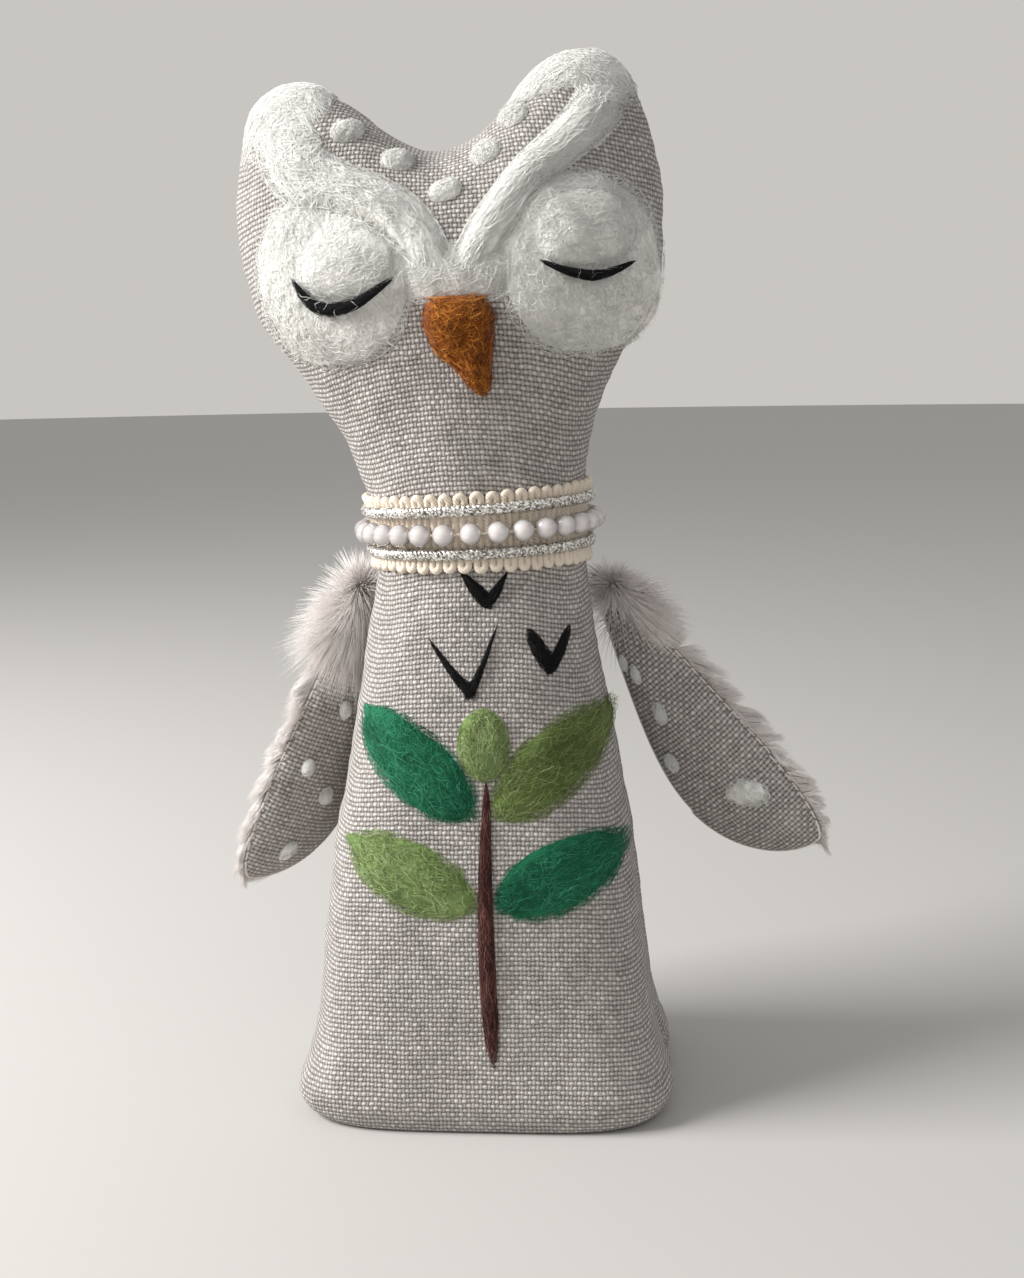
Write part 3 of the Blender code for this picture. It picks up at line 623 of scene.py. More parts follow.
@dataclass(frozen=True)
class Glitter:
    """Thread wrapped in metal foil: small flat glints over darker folds, both painted into the colour as
    painted highlights and painted shade.
    """

    name: str
    dark: str
    main: str
    glint: str
    cell_scale: float = 2600.0
    fold_depth: float = 0.12 * MM

    def build(self, effects: Effects) -> bpy.types.Material:
        """Make the material from small cells in Object coordinates."""
        material, desk, shader = open_material(self.name)
        place = desk.node("TexCoord").outputs["Object"]
        cells = desk.node("TexVoronoi", {"Vector": place, "Scale": self.cell_scale})
        pick = desk.node("SeparateColor", {"Color": cells.outputs["Color"]}).outputs
        patches, _ = effects.patches(desk, 200.0)
        desk.feed(shader, {
            # Random cells take the colour: the darkest stand in for painted shade in the folds, and the
            # palest are painted glints.
            "Base Color": desk.ramp(pick["Red"], (0.0, self.dark), (0.45, self.main), (0.85, self.glint)),
            "Metallic": desk.scaled(pick["Blue"], 0.3, 0.6), "Roughness": desk.scaled(patches, 0.2, 0.22),
        })
        add_bump(desk, shader, pick["Green"], self.fold_depth, 0.8)
        return material


@dataclass(frozen=True)
class Nacre:
    """A pearl's lacquer: a milky body whose colour goes rosy and grey towards the rim it shows the view, as
    painted shade.
    """

    name: str
    body: str
    edge: str

    def build(self, effects: Effects) -> bpy.types.Material:
        """Make the material, with a painted shade that grows with the angle at which it is seen."""
        material, desk, shader = open_material(self.name)
        # The edge colour, chosen by facing, is painted shade at the rim, where the pearl turns away from the
        # view.
        facing = desk.node("LayerWeight", {"Blend": 0.45}).outputs["Facing"]
        patches, grain = effects.patches(desk, 300.0)
        mixed = desk.scaled(patches, 0.25, facing)
        desk.feed(shader, {
            "Base Color": desk.ramp(mixed, (0.1, self.body), (0.9, self.edge)),
            "Roughness": desk.scaled(grain, 0.08, 0.16), "Specular IOR Level": 0.8,
            "Coat Weight": 1.0, "Coat Roughness": 0.04, "Coat IOR": 1.8,
            "Subsurface Weight": 0.15, "Subsurface Scale": 0.5 * MM,
        })
        return material


class Wardrobe:
    """Every finish of the owl, built once and looked up by the record's slot."""

    def __init__(self) -> None:
        """Build the materials."""
        effects = Effects()
        finishes = {
            # Each linen's three colours run from painted shade in the gaps, through the thread's own colour,
            # to a painted highlight on the crests.
            "linen": Linen("owl_linen", "554E49", "98928D", "CAC5C1"),
            "lining": Linen("owl_lining", "837B74", "BDB5AC", "D8D2CA", 0.4 * MM, 0.45 * MM, 0.15 * MM),
            "fur": Wool("owl_fur", "D8D0CB", "F1EAE6", "FCF8F6", roughness=0.8, sheen=0.3),
            "stuffing": Wool("owl_stuffing", "C9C8C4", "E4E3DF", "F4F3F0"),
            "pellets": Linen("owl_pellet_cloth", "8F8A80", "C2BDB2", "DAD5CB",
                             0.3 * MM, 0.33 * MM, 0.1 * MM),
            "white_wool": Wool("owl_white_wool", "CFCDC7", "F1F0EB", "FDFCF8"),
            "black_wool": Wool("owl_black_wool", "060606", "121213", "2C2B2D", sheen=0.05),
            "orange_wool": Wool("owl_orange_wool", "4A2006", "A85810", "D9923A", sheen=0.1,
                                patch_scale=150.0, variety=0.9),
            "emerald_wool": Wool("owl_emerald_wool", "0D4A33", "1B7350", "4DA57F", sheen=0.1, variety=0.7),
            "olive_wool": Wool("owl_olive_wool", "46552A", "75874A", "A9B87D", sheen=0.1, variety=0.7),
            "leaf_wool": Wool("owl_leaf_wool", "56703C", "8BA05F", "BCCB97", sheen=0.1, variety=0.7),
            "brown_wool": Wool("owl_brown_wool", "28110F", "4E2B27", "8A5D54", sheen=0.1, variety=0.8),
            # The braid and thread darken in their ply grooves as painted shade, the silver carries painted
            # glints and fold shade, and the pearl a painted shade at its rim.
            "braid": SatinThread("owl_braid", "AB957B", "EBDECD"),
            "silver_thread": Glitter("owl_silver_thread", "5C574F", "C4BFB4", "FFFFFF"),
            "pearl": Nacre("owl_pearl", "E8E2DF", "8A8280"),
            "thread": SatinThread("owl_thread", "4E4640", "8A817A", roughness=0.8),
        }
        self.materials = {slot: finish.build(effects) for slot, finish in finishes.items()}

    def dress(self, piece: bpy.types.Object, slot: str, body: Body,
              nodes: Sequence[str] = ()) -> bpy.types.Object:
        """Give a piece its material, its body and the frame's nodes that it stands for.

        Args:
            piece: The finished piece.
            slot: The record's material slot.
            body: The body that it rides on.
            nodes: The nodes that it replaces.

        Returns:
            The piece.
        """
        piece.data.materials.clear()
        piece.data.materials.append(self.materials[slot])
        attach(piece, body.value)
        if nodes:
            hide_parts(*nodes)
        log.info("%s: %d faces on %s", piece.name, len(piece.data.polygons), body.value)
        return piece

    def dress_felt(self, name: str, slot: str, nodes: Sequence[str], pad: Pad, fuzz: Fuzz, seed: int,
                   shade_seed: int | None = None) -> None:
        """Make and dress a piece on the owl's body that is one pad of felt.

        Args:
            name: The piece's name.
            slot: The record's material slot.
            nodes: The nodes that it replaces.
            pad: The pad.
            fuzz: How its fibres lie.
            seed: Starts the fibres' draw.
            shade_seed: Starts the draw of their tints; the next number if it isn't given.
        """
        bundle = Bundle()
        bundle.add_felt(pad, fuzz, seed, shade_seed)
        self.dress(bundle.finish(name), slot, Body.OWL, nodes)


# Mesh helpers
def link(name: str, mesh: bpy.types.Mesh) -> bpy.types.Object:
    """Make a smooth-shaded object of a mesh and put it in the scene."""
    mesh.shade_smooth()
    piece = bpy.data.objects.new(name, mesh)
    bpy.context.scene.collection.objects.link(piece)
    return piece


def piece_of(name: str, work: bmesh.types.BMesh) -> bpy.types.Object:
    """Turn a work mesh, which is used up, into a piece in the scene."""
    mesh = bpy.data.meshes.new(name)
    work.to_mesh(mesh)
    work.free()
    return link(name, mesh)


def barrel(segments: int, rows: int, capped: bool = True) -> bmesh.types.BMesh:
    """Make an upright cylinder round the origin, with radius 1 and height 1.

    Args:
        segments: How many sides it has.
        rows: How many rows of faces its wall has.
        capped: Whether its ends are closed.

    Returns:
        The work mesh.
    """
    work = bmesh.new()
    bmesh.ops.create_cone(work, cap_ends=capped, segments=segments, radius1=1.0, radius2=1.0, depth=1.0)
    if rows > 1:
        uprights = [edge for edge in work.edges if abs(edge.verts[0].co.z - edge.verts[1].co.z) > 0.5]
        bmesh.ops.subdivide_edges(work, edges=uprights, cuts=rows - 1)
    return work


def close_outwards(work: bmesh.types.BMesh) -> None:
    """Make a closed body's faces point out of it."""
    bmesh.ops.recalc_face_normals(work, faces=work.faces)
    if work.calc_volume(signed=True) < 0.0:
        bmesh.ops.reverse_faces(work, faces=work.faces)


def turn_outwards(work: bmesh.types.BMesh, inner: Vector) -> None:
    """Make an open surface face away from a point behind it."""
    work.normal_update()
    if sum(face.normal.dot(face.calc_center_median() - inner) for face in work.faces) < 0.0:
        bmesh.ops.reverse_faces(work, faces=work.faces)


def corners(work: bmesh.types.BMesh) -> Array:
    """Read a work mesh's points."""
    return np.array([vert.co[:] for vert in work.verts])


def turns_of(points: Array) -> Array:
    """Way round the upright axis from 0 at the front, in radians."""
    return np.arctan2(points[:, 0], -points[:, 1])


def move_corners(work: bmesh.types.BMesh, points: Array) -> None:
    """Move a work mesh's points."""
    for vert, point in zip(work.verts, points):
        vert.co = point


def lay_cloth(work: bmesh.types.BMesh, places: Array) -> None:
    """Give each point its place on the flat cloth, in metres, as the UV map.

    Args:
        work: The work mesh.
        places: Two numbers for each of its points.
    """
    layer = work.loops.layers.uv.new("cloth")
    work.verts.index_update()
    for face in work.faces:
        for loop in face.loops:
            loop[layer].uv = places[loop.vert.index]


def thicken(piece: bpy.types.Object, thickness: float) -> bpy.types.Object:
    """Give an open surface a wall on its inner side."""
    wall = piece.modifiers.new("wall", "SOLIDIFY")
    wall.thickness = thickness
    wall.offset = -1.0
    return piece


def tubes(name: str, paths: Sequence[Array], radius: float, closed: bool = False,
          round_steps: int = 2) -> bpy.types.Object:
    """Make round tubes along paths, as one piece.

    Args:
        name: The piece's name.
        paths: Points of each path.
        radius: The tubes' radius.
        closed: Whether each path joins its own start.
        round_steps: How round the tubes are.

    Returns:
        The piece.
    """
    curve = bpy.data.curves.new(name, "CURVE")
    curve.dimensions = "3D"
    curve.bevel_depth = radius
    curve.bevel_resolution = round_steps
    curve.use_fill_caps = not closed
    for path in paths:
        spline = curve.splines.new("POLY")
        spline.points.add(len(path) - 1)
        spline.points.foreach_set("co", np.c_[path, np.ones(len(path))].ravel())
        spline.use_cyclic_u = closed
    carrier = bpy.data.objects.new(name, curve)
    bpy.context.scene.collection.objects.link(carrier)
    bpy.context.view_layer.update()
    mesh = bpy.data.meshes.new_from_object(carrier.evaluated_get(bpy.context.evaluated_depsgraph_get()))
    bpy.data.objects.remove(carrier)
    work = bmesh.new()
    work.from_mesh(mesh)
    bmesh.ops.remove_doubles(work, verts=work.verts, dist=0.001 * MM)
    bmesh.ops.recalc_face_normals(work, faces=work.faces)
    work.to_mesh(mesh)
    work.free()
    return link(name, mesh)


@dataclass(frozen=True)
class Strand:
    """How one kind of fibre grows: length, thickness, bend, and how its thickness runs out."""

    length: float
    radius: float
    bend: float = 0.6
    sections: int = 4
    both_ends_fine: bool = True

    def template(self) -> tuple[Array, list[tuple[int, ...]]]:
        """Make one straight three-sided strand: x and y across it, z counts its sections."""
        work = barrel(3, self.sections - 1)
        close_outwards(work)
        points = corners(work)
        points[:, 2] = np.rint((points[:, 2] + 0.5) * (self.sections - 1))
        work.verts.index_update()
        faces = [tuple(vert.index for vert in face.verts) for face in work.faces]
        work.free()
        return points, faces

    def thickness(self) -> Array:
        """The radius at each section."""
        run = np.linspace(0.0, 1.0, self.sections)
        shape = 0.25 + 0.75 * np.sin(math.pi * run) if self.both_ends_fine else 1.0 - 0.85 * run ** 1.4
        return self.radius * shape


@dataclass(frozen=True)
class Fuzz:
    """How fibres lie on a pad of felt.

    spread is how far their directions scatter about heading, which is measured from the pad's
    length in radians. rim is how far out they reach, as a share of the pad, and stray is how high
    the wildest stand off it.
    """

    count: int
    strand: Strand
    spread: float
    heading: float = 0.0
    rim: float = 1.02
    stray: float = 0.35 * MM


class Bundle:
    """Gathers solid shapes and strands into one piece, with a tint and a reach at each point."""

    # Solid shapes get a low tint and reach, which give the pads' bodies under the fibres a darker colour:
    # painted shade between the fibres.
    shape_tint = 0.25
    shape_reach = 0.1

    def __init__(self) -> None:
        """Start empty."""
        self.parts: list[tuple[Array, Array, Array, Array, Array]] = []
        self.count = 0

    def _add(self, points: Array, tints: Array, reaches: Array, loops: Array, sizes: Array) -> None:
        """Add points and the faces between them."""
        self.parts.append((points, tints, reaches, loops + self.count, sizes))
        self.count += len(points)

    def add_shape(self, work: bmesh.types.BMesh) -> None:
        """Add a closed work mesh, which is used up."""
        work.verts.index_update()
        points = corners(work)
        loops = np.array([vert.index for face in work.faces for vert in face.verts])
        sizes = np.array([len(face.verts) for face in work.faces])
        work.free()
        tints, reaches = np.full(len(points), self.shape_tint), np.full(len(points), self.shape_reach)
        self._add(points, tints, reaches, loops, sizes)

    def add_strands(self, paths: Array, strand: Strand, seed: int) -> None:
        """Add a strand along each path.

        Args:
            paths: Strands by sections by three.
            strand: What kind of fibre it is.
            seed: Starts the draw of their tints and thicknesses.
        """
        draw = np.random.default_rng(seed)
        count = len(paths)
        template, faces = strand.template()
        heading = unit(np.gradient(paths, axis=1))
        mean = np.abs(heading.mean(axis=1))
        helper = np.eye(3)[np.argmin(mean, axis=1)][:, None, :]
        side = unit(np.cross(helper, heading))
        other = np.cross(heading, side)
        row = template[:, 2].astype(int)
        radius = strand.thickness()[None, row] * draw.uniform(0.6, 1.3, (count, 1))
        offset = template[None, :, 0, None] * side[:, row] + template[None, :, 1, None] * other[:, row]
        points = paths[:, row] + offset * radius[..., None]
        tints = np.repeat(draw.uniform(0.0, 1.0, count), len(row))
        reaches = np.tile(row / (strand.sections - 1), count)
        one = np.array([index for face in faces for index in face])
        loops = (one[None, :] + np.arange(count)[:, None] * len(row)).ravel()
        sizes = np.tile([len(face) for face in faces], count)
        self._add(points.reshape(-1, 3), tints, reaches, loops, sizes)

    def add_felt(self, pad: Pad, fuzz: Fuzz, seed: int, shade_seed: int | None = None) -> None:
        """Add a pad's body and the fibres over it.

        Args:
            pad: The pad.
            fuzz: How its fibres lie.
            seed: Starts the fibres' draw.
            shade_seed: Starts the draw of their tints; the next number if it isn't given.
        """
        self.add_shape(pad.shape())
        shades = seed + 1 if shade_seed is None else shade_seed
        self.add_strands(pad.fibres(fuzz, seed), fuzz.strand, shades)

    def finish(self, name: str) -> bpy.types.Object:
        """Make the piece.

        Args:
            name: The piece's name.

        Returns:
            The object, in the scene.
        """
        points, tints, reaches, loops, sizes = (np.concatenate(column) for column in zip(*self.parts))
        mesh = bpy.data.meshes.new(name)
        mesh.vertices.add(len(points))
        mesh.vertices.foreach_set("co", points.astype(np.float32).ravel())
        mesh.loops.add(len(loops))
        mesh.loops.foreach_set("vertex_index", loops.astype(np.int32))
        mesh.polygons.add(len(sizes))
        mesh.polygons.foreach_set("loop_start", (np.cumsum(sizes) - sizes).astype(np.int32))
        mesh.update(calc_edges=True)
        mesh.validate()
        for label, values in (("tint", tints), ("reach", reaches)):
            layer = mesh.attributes.new(label, "FLOAT", "POINT")
            layer.data.foreach_set("value", values.astype(np.float32))
        return link(name, mesh)


# Pads of wool
@dataclass
class Pad:
    """A domed pad of felted wool. q runs from -1 to 1 along it and w from -1 to 1 across it.

    place carries q, w and a height above the cloth to a point, half_length and half_width are its
    real half sizes, and crown is its thickness in the middle. blunt squares off its start and its
    end: 2 makes an oval's end.
    """

    place: Callable[[Array, Array, Array], Array]
    half_length: float
    half_width: float
    crown: float
    seed: int
    dome: float = 1.0
    sink: float = 0.35 * MM
    ragged: float = 0.05
    lumpiness: float = 0.16
    around: int = 40
    along: int = 28
    blunt: tuple[float, float] = (2.0, 2.0)

    def ends(self, q: Array) -> tuple[Array, Array]:
        """How far the pad is from closing at q, and the power that squares its end off."""
        power = np.where(q < 0.0, self.blunt[0], self.blunt[1])
        return np.maximum(1.0 - np.abs(q) ** power, 0.0), power

    def rim(self, q: Array) -> Array:
        """Half the pad's width at q, as a share."""
        open_share, power = self.ends(q)
        return open_share ** (1.0 / power)

    def widening(self, q: Array) -> Array:
        """How much wider the pad is at q than an oval."""
        held = np.clip(q, -0.985, 0.985)
        return self.rim(held) / np.sqrt(1.0 - held ** 2)

    def thickness(self, q: Array, w: Array) -> Array:
        """The pad's height above its underside."""
        spots = np.stack([q, w * self.half_width / self.half_length, 0.0 * q], -1)
        lumps = Ripples(0.55, self.seed + 5).at(spots)
        inside = self.ends(q)[0] * np.maximum(1.0 - (w / np.maximum(self.rim(q), 1e-6)) ** 2, 0.0)
        return self.crown * inside ** (self.dome / 2.0) * (1.0 + self.lumpiness * lumps)

    def shape(self) -> bmesh.types.BMesh:
        """Make the pad's body from a unit sphere."""
        work = bmesh.new()
        bmesh.ops.create_uvsphere(work, u_segments=self.around, v_segments=self.along, radius=1.0)
        ball = corners(work)
        q, w, up = -ball[:, 2], ball[:, 0], ball[:, 1]
        w = w * self.widening(q)
        edge = Ripples(0.9, self.seed).at(np.stack([q, w, 0.0 * q], -1))
        grow = 1.0 + self.ragged * edge
        lift = np.where(up > 0.0, self.thickness(q, w), 0.0) - self.sink
        move_corners(work, self.place(q * grow, w * grow, lift))
        close_outwards(work)
        return work

    def fibres(self, fuzz: Fuzz, seed: int) -> Array:
        """Lay fibres over the pad.

        Args:
            fuzz: How they lie.
            seed: Starts the draw.

        Returns:
            Paths, fibres by sections by three.
        """
        draw = np.random.default_rng(seed)
        count, strand = fuzz.count, fuzz.strand
        out = np.sqrt(draw.uniform(0.0, 1.0, count)) * fuzz.rim
        way = draw.uniform(0.0, 2.0 * math.pi, count)
        q, w = out * np.cos(way), out * np.sin(way)
        angle = fuzz.heading + draw.normal(0.0, 1.0, count) * fuzz.spread
        bend = draw.normal(0.0, strand.bend, count)
        length = strand.length * draw.uniform(0.55, 1.3, count)
        run = np.linspace(-0.5, 0.5, strand.sections)
        turned = angle[:, None] + bend[:, None] * run[None, :] * 2.0
        step = length[:, None] / (strand.sections - 1)
        shift_q = np.cumsum(np.cos(turned) * step, axis=1)
        shift_w = np.cumsum(np.sin(turned) * step, axis=1)
        q = q[:, None] + (shift_q - shift_q.mean(axis=1, keepdims=True)) / self.half_length
        w = w[:, None] + (shift_w - shift_w.mean(axis=1, keepdims=True)) / self.half_width
        wild = fuzz.rim + 0.11 * draw.uniform(0.0, 1.0, count)[:, None] ** 3
        hold = np.minimum(1.0, wild / np.maximum(np.sqrt(q ** 2 + w ** 2), 1e-6))
        q, w = q * hold, w * hold
        w = w * self.widening(q)
        rise = draw.uniform(0.0, 1.0, count)[:, None] ** 4 * np.sin(math.pi * (run + 0.5))[None, :]
        depth = draw.uniform(-0.06, 0.16, count)[:, None] * MM
        lift = np.maximum(self.thickness(q, w) - self.sink, 0.0) + rise * fuzz.stray + depth
        return self.place(q, w, lift)


def smooth_route(points: Sequence[tuple[float, float]], share: Array) -> tuple[Array, Array]:
    """Read places and headings along a smooth curve through a route's points.

    Args:
        points: The route, in x and z.
        share: How far along, from 0 to 1.

    Returns:
        The places and the unit headings, each with x and z along the last axis.
    """
    route = np.array(points)
    last = len(route) - 1
    here = np.clip((share * last).astype(int), 0, last - 1)
    t = (share * last - here)[..., None]
    before, after = route[np.maximum(here - 1, 0)], route[np.minimum(here + 2, last)]
    start, end = route[here], route[here + 1]
    leave, arrive = (end - before) / 2.0, (after - start) / 2.0
    bend = 2.0 * (start - end) + leave + arrive
    ease = 3.0 * (end - start) - 2.0 * leave - arrive
    places = start + leave * t + ease * t ** 2 + bend * t ** 3
    return places, unit(leave + 2.0 * ease * t + 3.0 * bend * t ** 2)


def front_pad(form: OwlForm, route: Sequence[tuple[float, float]], half_width: float, crown: float,
              seed: int, width_shares: Sequence[float] = (1.0, 1.0), under: Callable | None = None,
              **shape: float) -> Pad:
    """Make a pad that lies along a route on the owl's front.

    Args:
        form: The owl's form.
        route: Its middle line, in x and z on the upright owl.
        half_width: Half its width where its share is 1.
        crown: Its thickness.
        seed: Starts its unevenness.
        width_shares: Its width along the route, as shares.
        under: What it lies on: a height for x and z.
        shape: Other settings of the pad.

    Returns:
        The pad.
    """
    knots = np.linspace(0.0, 1.0, len(width_shares))

    def place(q: Array, w: Array, lift: Array) -> Array:
        """Carry the pad's own coordinates to the owl."""
        share = (q + 1.0) / 2.0
        middle, heading = smooth_route(route, np.clip(share, 0.0, 1.0))
        beyond = (share - np.clip(share, 0.0, 1.0)) * length
        spread = half_width * np.interp(share, knots, width_shares) * w
        x = middle[..., 0] - heading[..., 1] * spread + heading[..., 0] * beyond
        z = middle[..., 1] + heading[..., 0] * spread + heading[..., 1] * beyond
        base = 0.0 if under is None else under(x, z)
        return form.above_front(x, z, lift + base)

    steps, _ = smooth_route(route, np.linspace(0.0, 1.0, 60))
    length = float(np.linalg.norm(np.diff(steps, axis=0), axis=1).sum())
    return Pad(place, length / 2.0, half_width, crown, seed, **shape)


# Body
@dataclass
class LinenBody:
    """The stuffed linen skin: front and back panel, base, and what fills them."""

    form: OwlForm
    cloth: float = 0.5 * MM
    gap: float = 0.3 * MM
    hem_lift: float = 0.4 * MM
    hem_fade: float = 4.0 * MM
    base_thickness: float = 1.2 * MM
    seam_depth: float = 1.1 * MM
    seam_reach: float = 1.5 * MM
    seam_gap: float = 0.05 * MM
    pucker_pitch: float = 5.0 * MM
    pucker_depth: float = 0.25 * MM
    stuffing_inset: float = 1.6 * MM
    stuffing_lumps: float = 0.6 * MM
    lid_weld: float = 0.4 * MM
    bag_height: float = 20.0 * MM
    crown_from: float = 0.75
    columns: int = 118
    rows: int = 186

    def panel_rows(self, share: Array) -> tuple[Array, Array]:
        """Heights and crown closings of a panel's rows, from its hem to its top seam."""
        climb = np.minimum(share / self.crown_from, 1.0) ** 1.1
        height = self.hem_lift + (self.form.crown_height - self.hem_lift) * climb
        return height, np.clip((share - self.crown_from) / (1.0 - self.crown_from), 0.0, 1.0)

    def panel(self, name: str, middle: float) -> bpy.types.Object:
        """Make the front or the back panel, with its seams drawn in and its cloth laid out.

        Args:
            name: The piece's name.
            middle: The turn of its middle line.

        Returns:
            The piece.
        """
        work = bmesh.new()
        bmesh.ops.create_grid(work, x_segments=self.columns, y_segments=self.rows, size=1.0)
        flat = corners(work)
        column = np.rint((flat[:, 0] + 1.0) / 2.0 * self.columns).astype(int)
        row = np.rint((flat[:, 1] + 1.0) / 2.0 * self.rows).astype(int)
        across = np.linspace(-1.0, 1.0, self.columns + 1)[None, :]
        height, closing = self.panel_rows(np.linspace(0.0, 1.0, self.rows + 1)[:, None])
        lattice = self.form.surface(middle + across * math.pi / 2.0, height, closing)
        around = np.linalg.norm(np.diff(lattice, axis=1), axis=2)
        u = np.concatenate([np.zeros((len(lattice), 1)), np.cumsum(around, axis=1)], axis=1)
        to_side = np.minimum(u, u[:, -1:] - u)
        u = u - u[:, self.columns // 2, None]
        steps = np.diff(lattice, axis=0)
        rowwise = unit(np.gradient(lattice, axis=1))[:-1]
        climbs = np.linalg.norm(steps - rowwise * np.sum(steps * rowwise, axis=2, keepdims=True), axis=2)
        v = np.concatenate([np.zeros((1, lattice.shape[1])), np.cumsum(climbs, axis=0)], axis=0)
        normal = unit(np.cross(np.gradient(lattice, axis=1), np.gradient(lattice, axis=0)))
        facing = np.array([0.0, -math.cos(middle), 0.0])
        normal = normal * np.sign(np.sum(normal[:, self.columns // 2] * facing, axis=1).mean())
        lumps = self.form.lumps(lattice)
        wander = 2.0 * lumps / self.form.lump_height
        pucker = 1.0 + 0.5 * np.sin(2.0 * math.pi * v / self.pucker_pitch + wander)
        near = np.minimum(to_side, v[-1:] - v)
        drawn = self.seam_depth * np.exp(-(near / self.seam_reach) ** 2) * (0.7 + 0.3 * pucker)
        drawn = drawn + self.pucker_depth * pucker * np.exp(-(near / (3.0 * self.seam_reach)) ** 2)
        fade = 1.0 - np.exp(-(v / self.hem_fade) ** 2)
        lattice = lattice + normal * (lumps - drawn)[..., None] * fade[..., None]
        lattice[:, (0, -1), 1] += self.seam_gap * (1.0 if middle == BACK else -1.0)
        move_corners(work, lattice[row, column])
        lay_cloth(work, np.stack([u, v], axis=-1)[row, column])
        turn_outwards(work, Vector((0.0, 0.0, self.form.neck_height)))
        return thicken(piece_of(name, work), self.cloth)

    def base(self) -> bpy.types.Object:
        """Make the flat panel under the feet, with a soft edge."""
        work = barrel(144, 1)
        rims = [edge for edge in work.edges if abs(edge.verts[0].co.z - edge.verts[1].co.z) < 0.5]
        bmesh.ops.bevel(work, geom=rims, offset=0.2, segments=3, profile=0.5, affect="EDGES", material=-1)
        flat = corners(work)
        hem = np.full(len(flat), self.hem_lift)
        rim = self.form.surface(turns_of(flat), hem, 0.0, -self.cloth - self.gap)
        points = rim * np.linalg.norm(flat[:, :2], axis=1)[:, None]
        points[:, 2] = (flat[:, 2] + 0.5) * self.base_thickness
        move_corners(work, points)
        lay_cloth(work, points[:, :2])
        close_outwards(work)
        return piece_of("base_panel_linen", work)

    def filling(self, name: str, low: float, high: float, seed: int,
                crowned: bool = False) -> bpy.types.Object:
        """Make a soft lumpy body inside the skin.

        Args:
            name: The piece's name.
            low: Where it starts.
            high: Where it ends, or where its crown starts to close.
            seed: Starts its lumps.
            crowned: Whether it fills the ears.

        Returns:
            The piece.
        """
        rows, crown_rows = 36, 14 if crowned else 0
        work = barrel(64, rows + crown_rows)
        flat = corners(work)
        turn = turns_of(flat)
        row = (flat[:, 2] + 0.5) * (rows + crown_rows)
        height = low + (high - low) * np.minimum(row / rows, 1.0)
        closing = np.maximum(row - rows, 0.0) / max(crown_rows, 1)
        points = self.form.surface(turn, height, closing, -self.stuffing_inset)
        sunk = np.abs(Ripples(7.0 * MM, seed).at(points)) * self.stuffing_lumps
        axis = np.array([0.0, 0.0, 1.0]) * points
        move_corners(work, points - unit(points - axis) * sunk[:, None])
        if crowned:
            lids = [face for face in work.faces if len(face.verts) > 4]
            lids = [lid for lid in lids if lid.calc_center_median().z > high]
            bmesh.ops.delete(work, geom=lids, context="FACES_ONLY")
            top = [vert for vert in work.verts if vert.is_boundary]
            bmesh.ops.remove_doubles(work, verts=top, dist=self.lid_weld)
            open_edges = [edge for edge in work.edges if edge.is_boundary]
            bmesh.ops.holes_fill(work, edges=open_edges, sides=0)
        lay_cloth(work, np.stack([turn * self.form.neck_half_width, height], axis=-1))
        close_outwards(work)
        return piece_of(name, work)

    def build(self, wardrobe: Wardrobe) -> None:
        """Make and dress the skin, the base and the fillings."""
        for label, middle in (("front", FRONT), ("back", BACK)):
            panel = self.panel(f"{label}_panel_linen", middle)
            wardrobe.dress(panel, "linen", Body.OWL, [f"{label}_panel"])
        wardrobe.dress(self.base(), "lining", Body.OWL, ["base_panel"])
        low, neck = self.base_thickness + self.gap, self.form.neck_height
        high = low + self.bag_height
        bag = self.filling("pellet_bag_cloth", low, high, 21)
        wardrobe.dress(bag, "pellets", Body.OWL, ["pellet_bag"])
        body = self.filling("body_filling", high + self.gap, neck - self.gap, 22)
        wardrobe.dress(body, "stuffing", Body.OWL, ["body_stuffing"])
        head = self.filling("head_filling", neck, self.form.crown_height, 23, crowned=True)
        wardrobe.dress(head, "stuffing", Body.OWL, ["head_stuffing"])


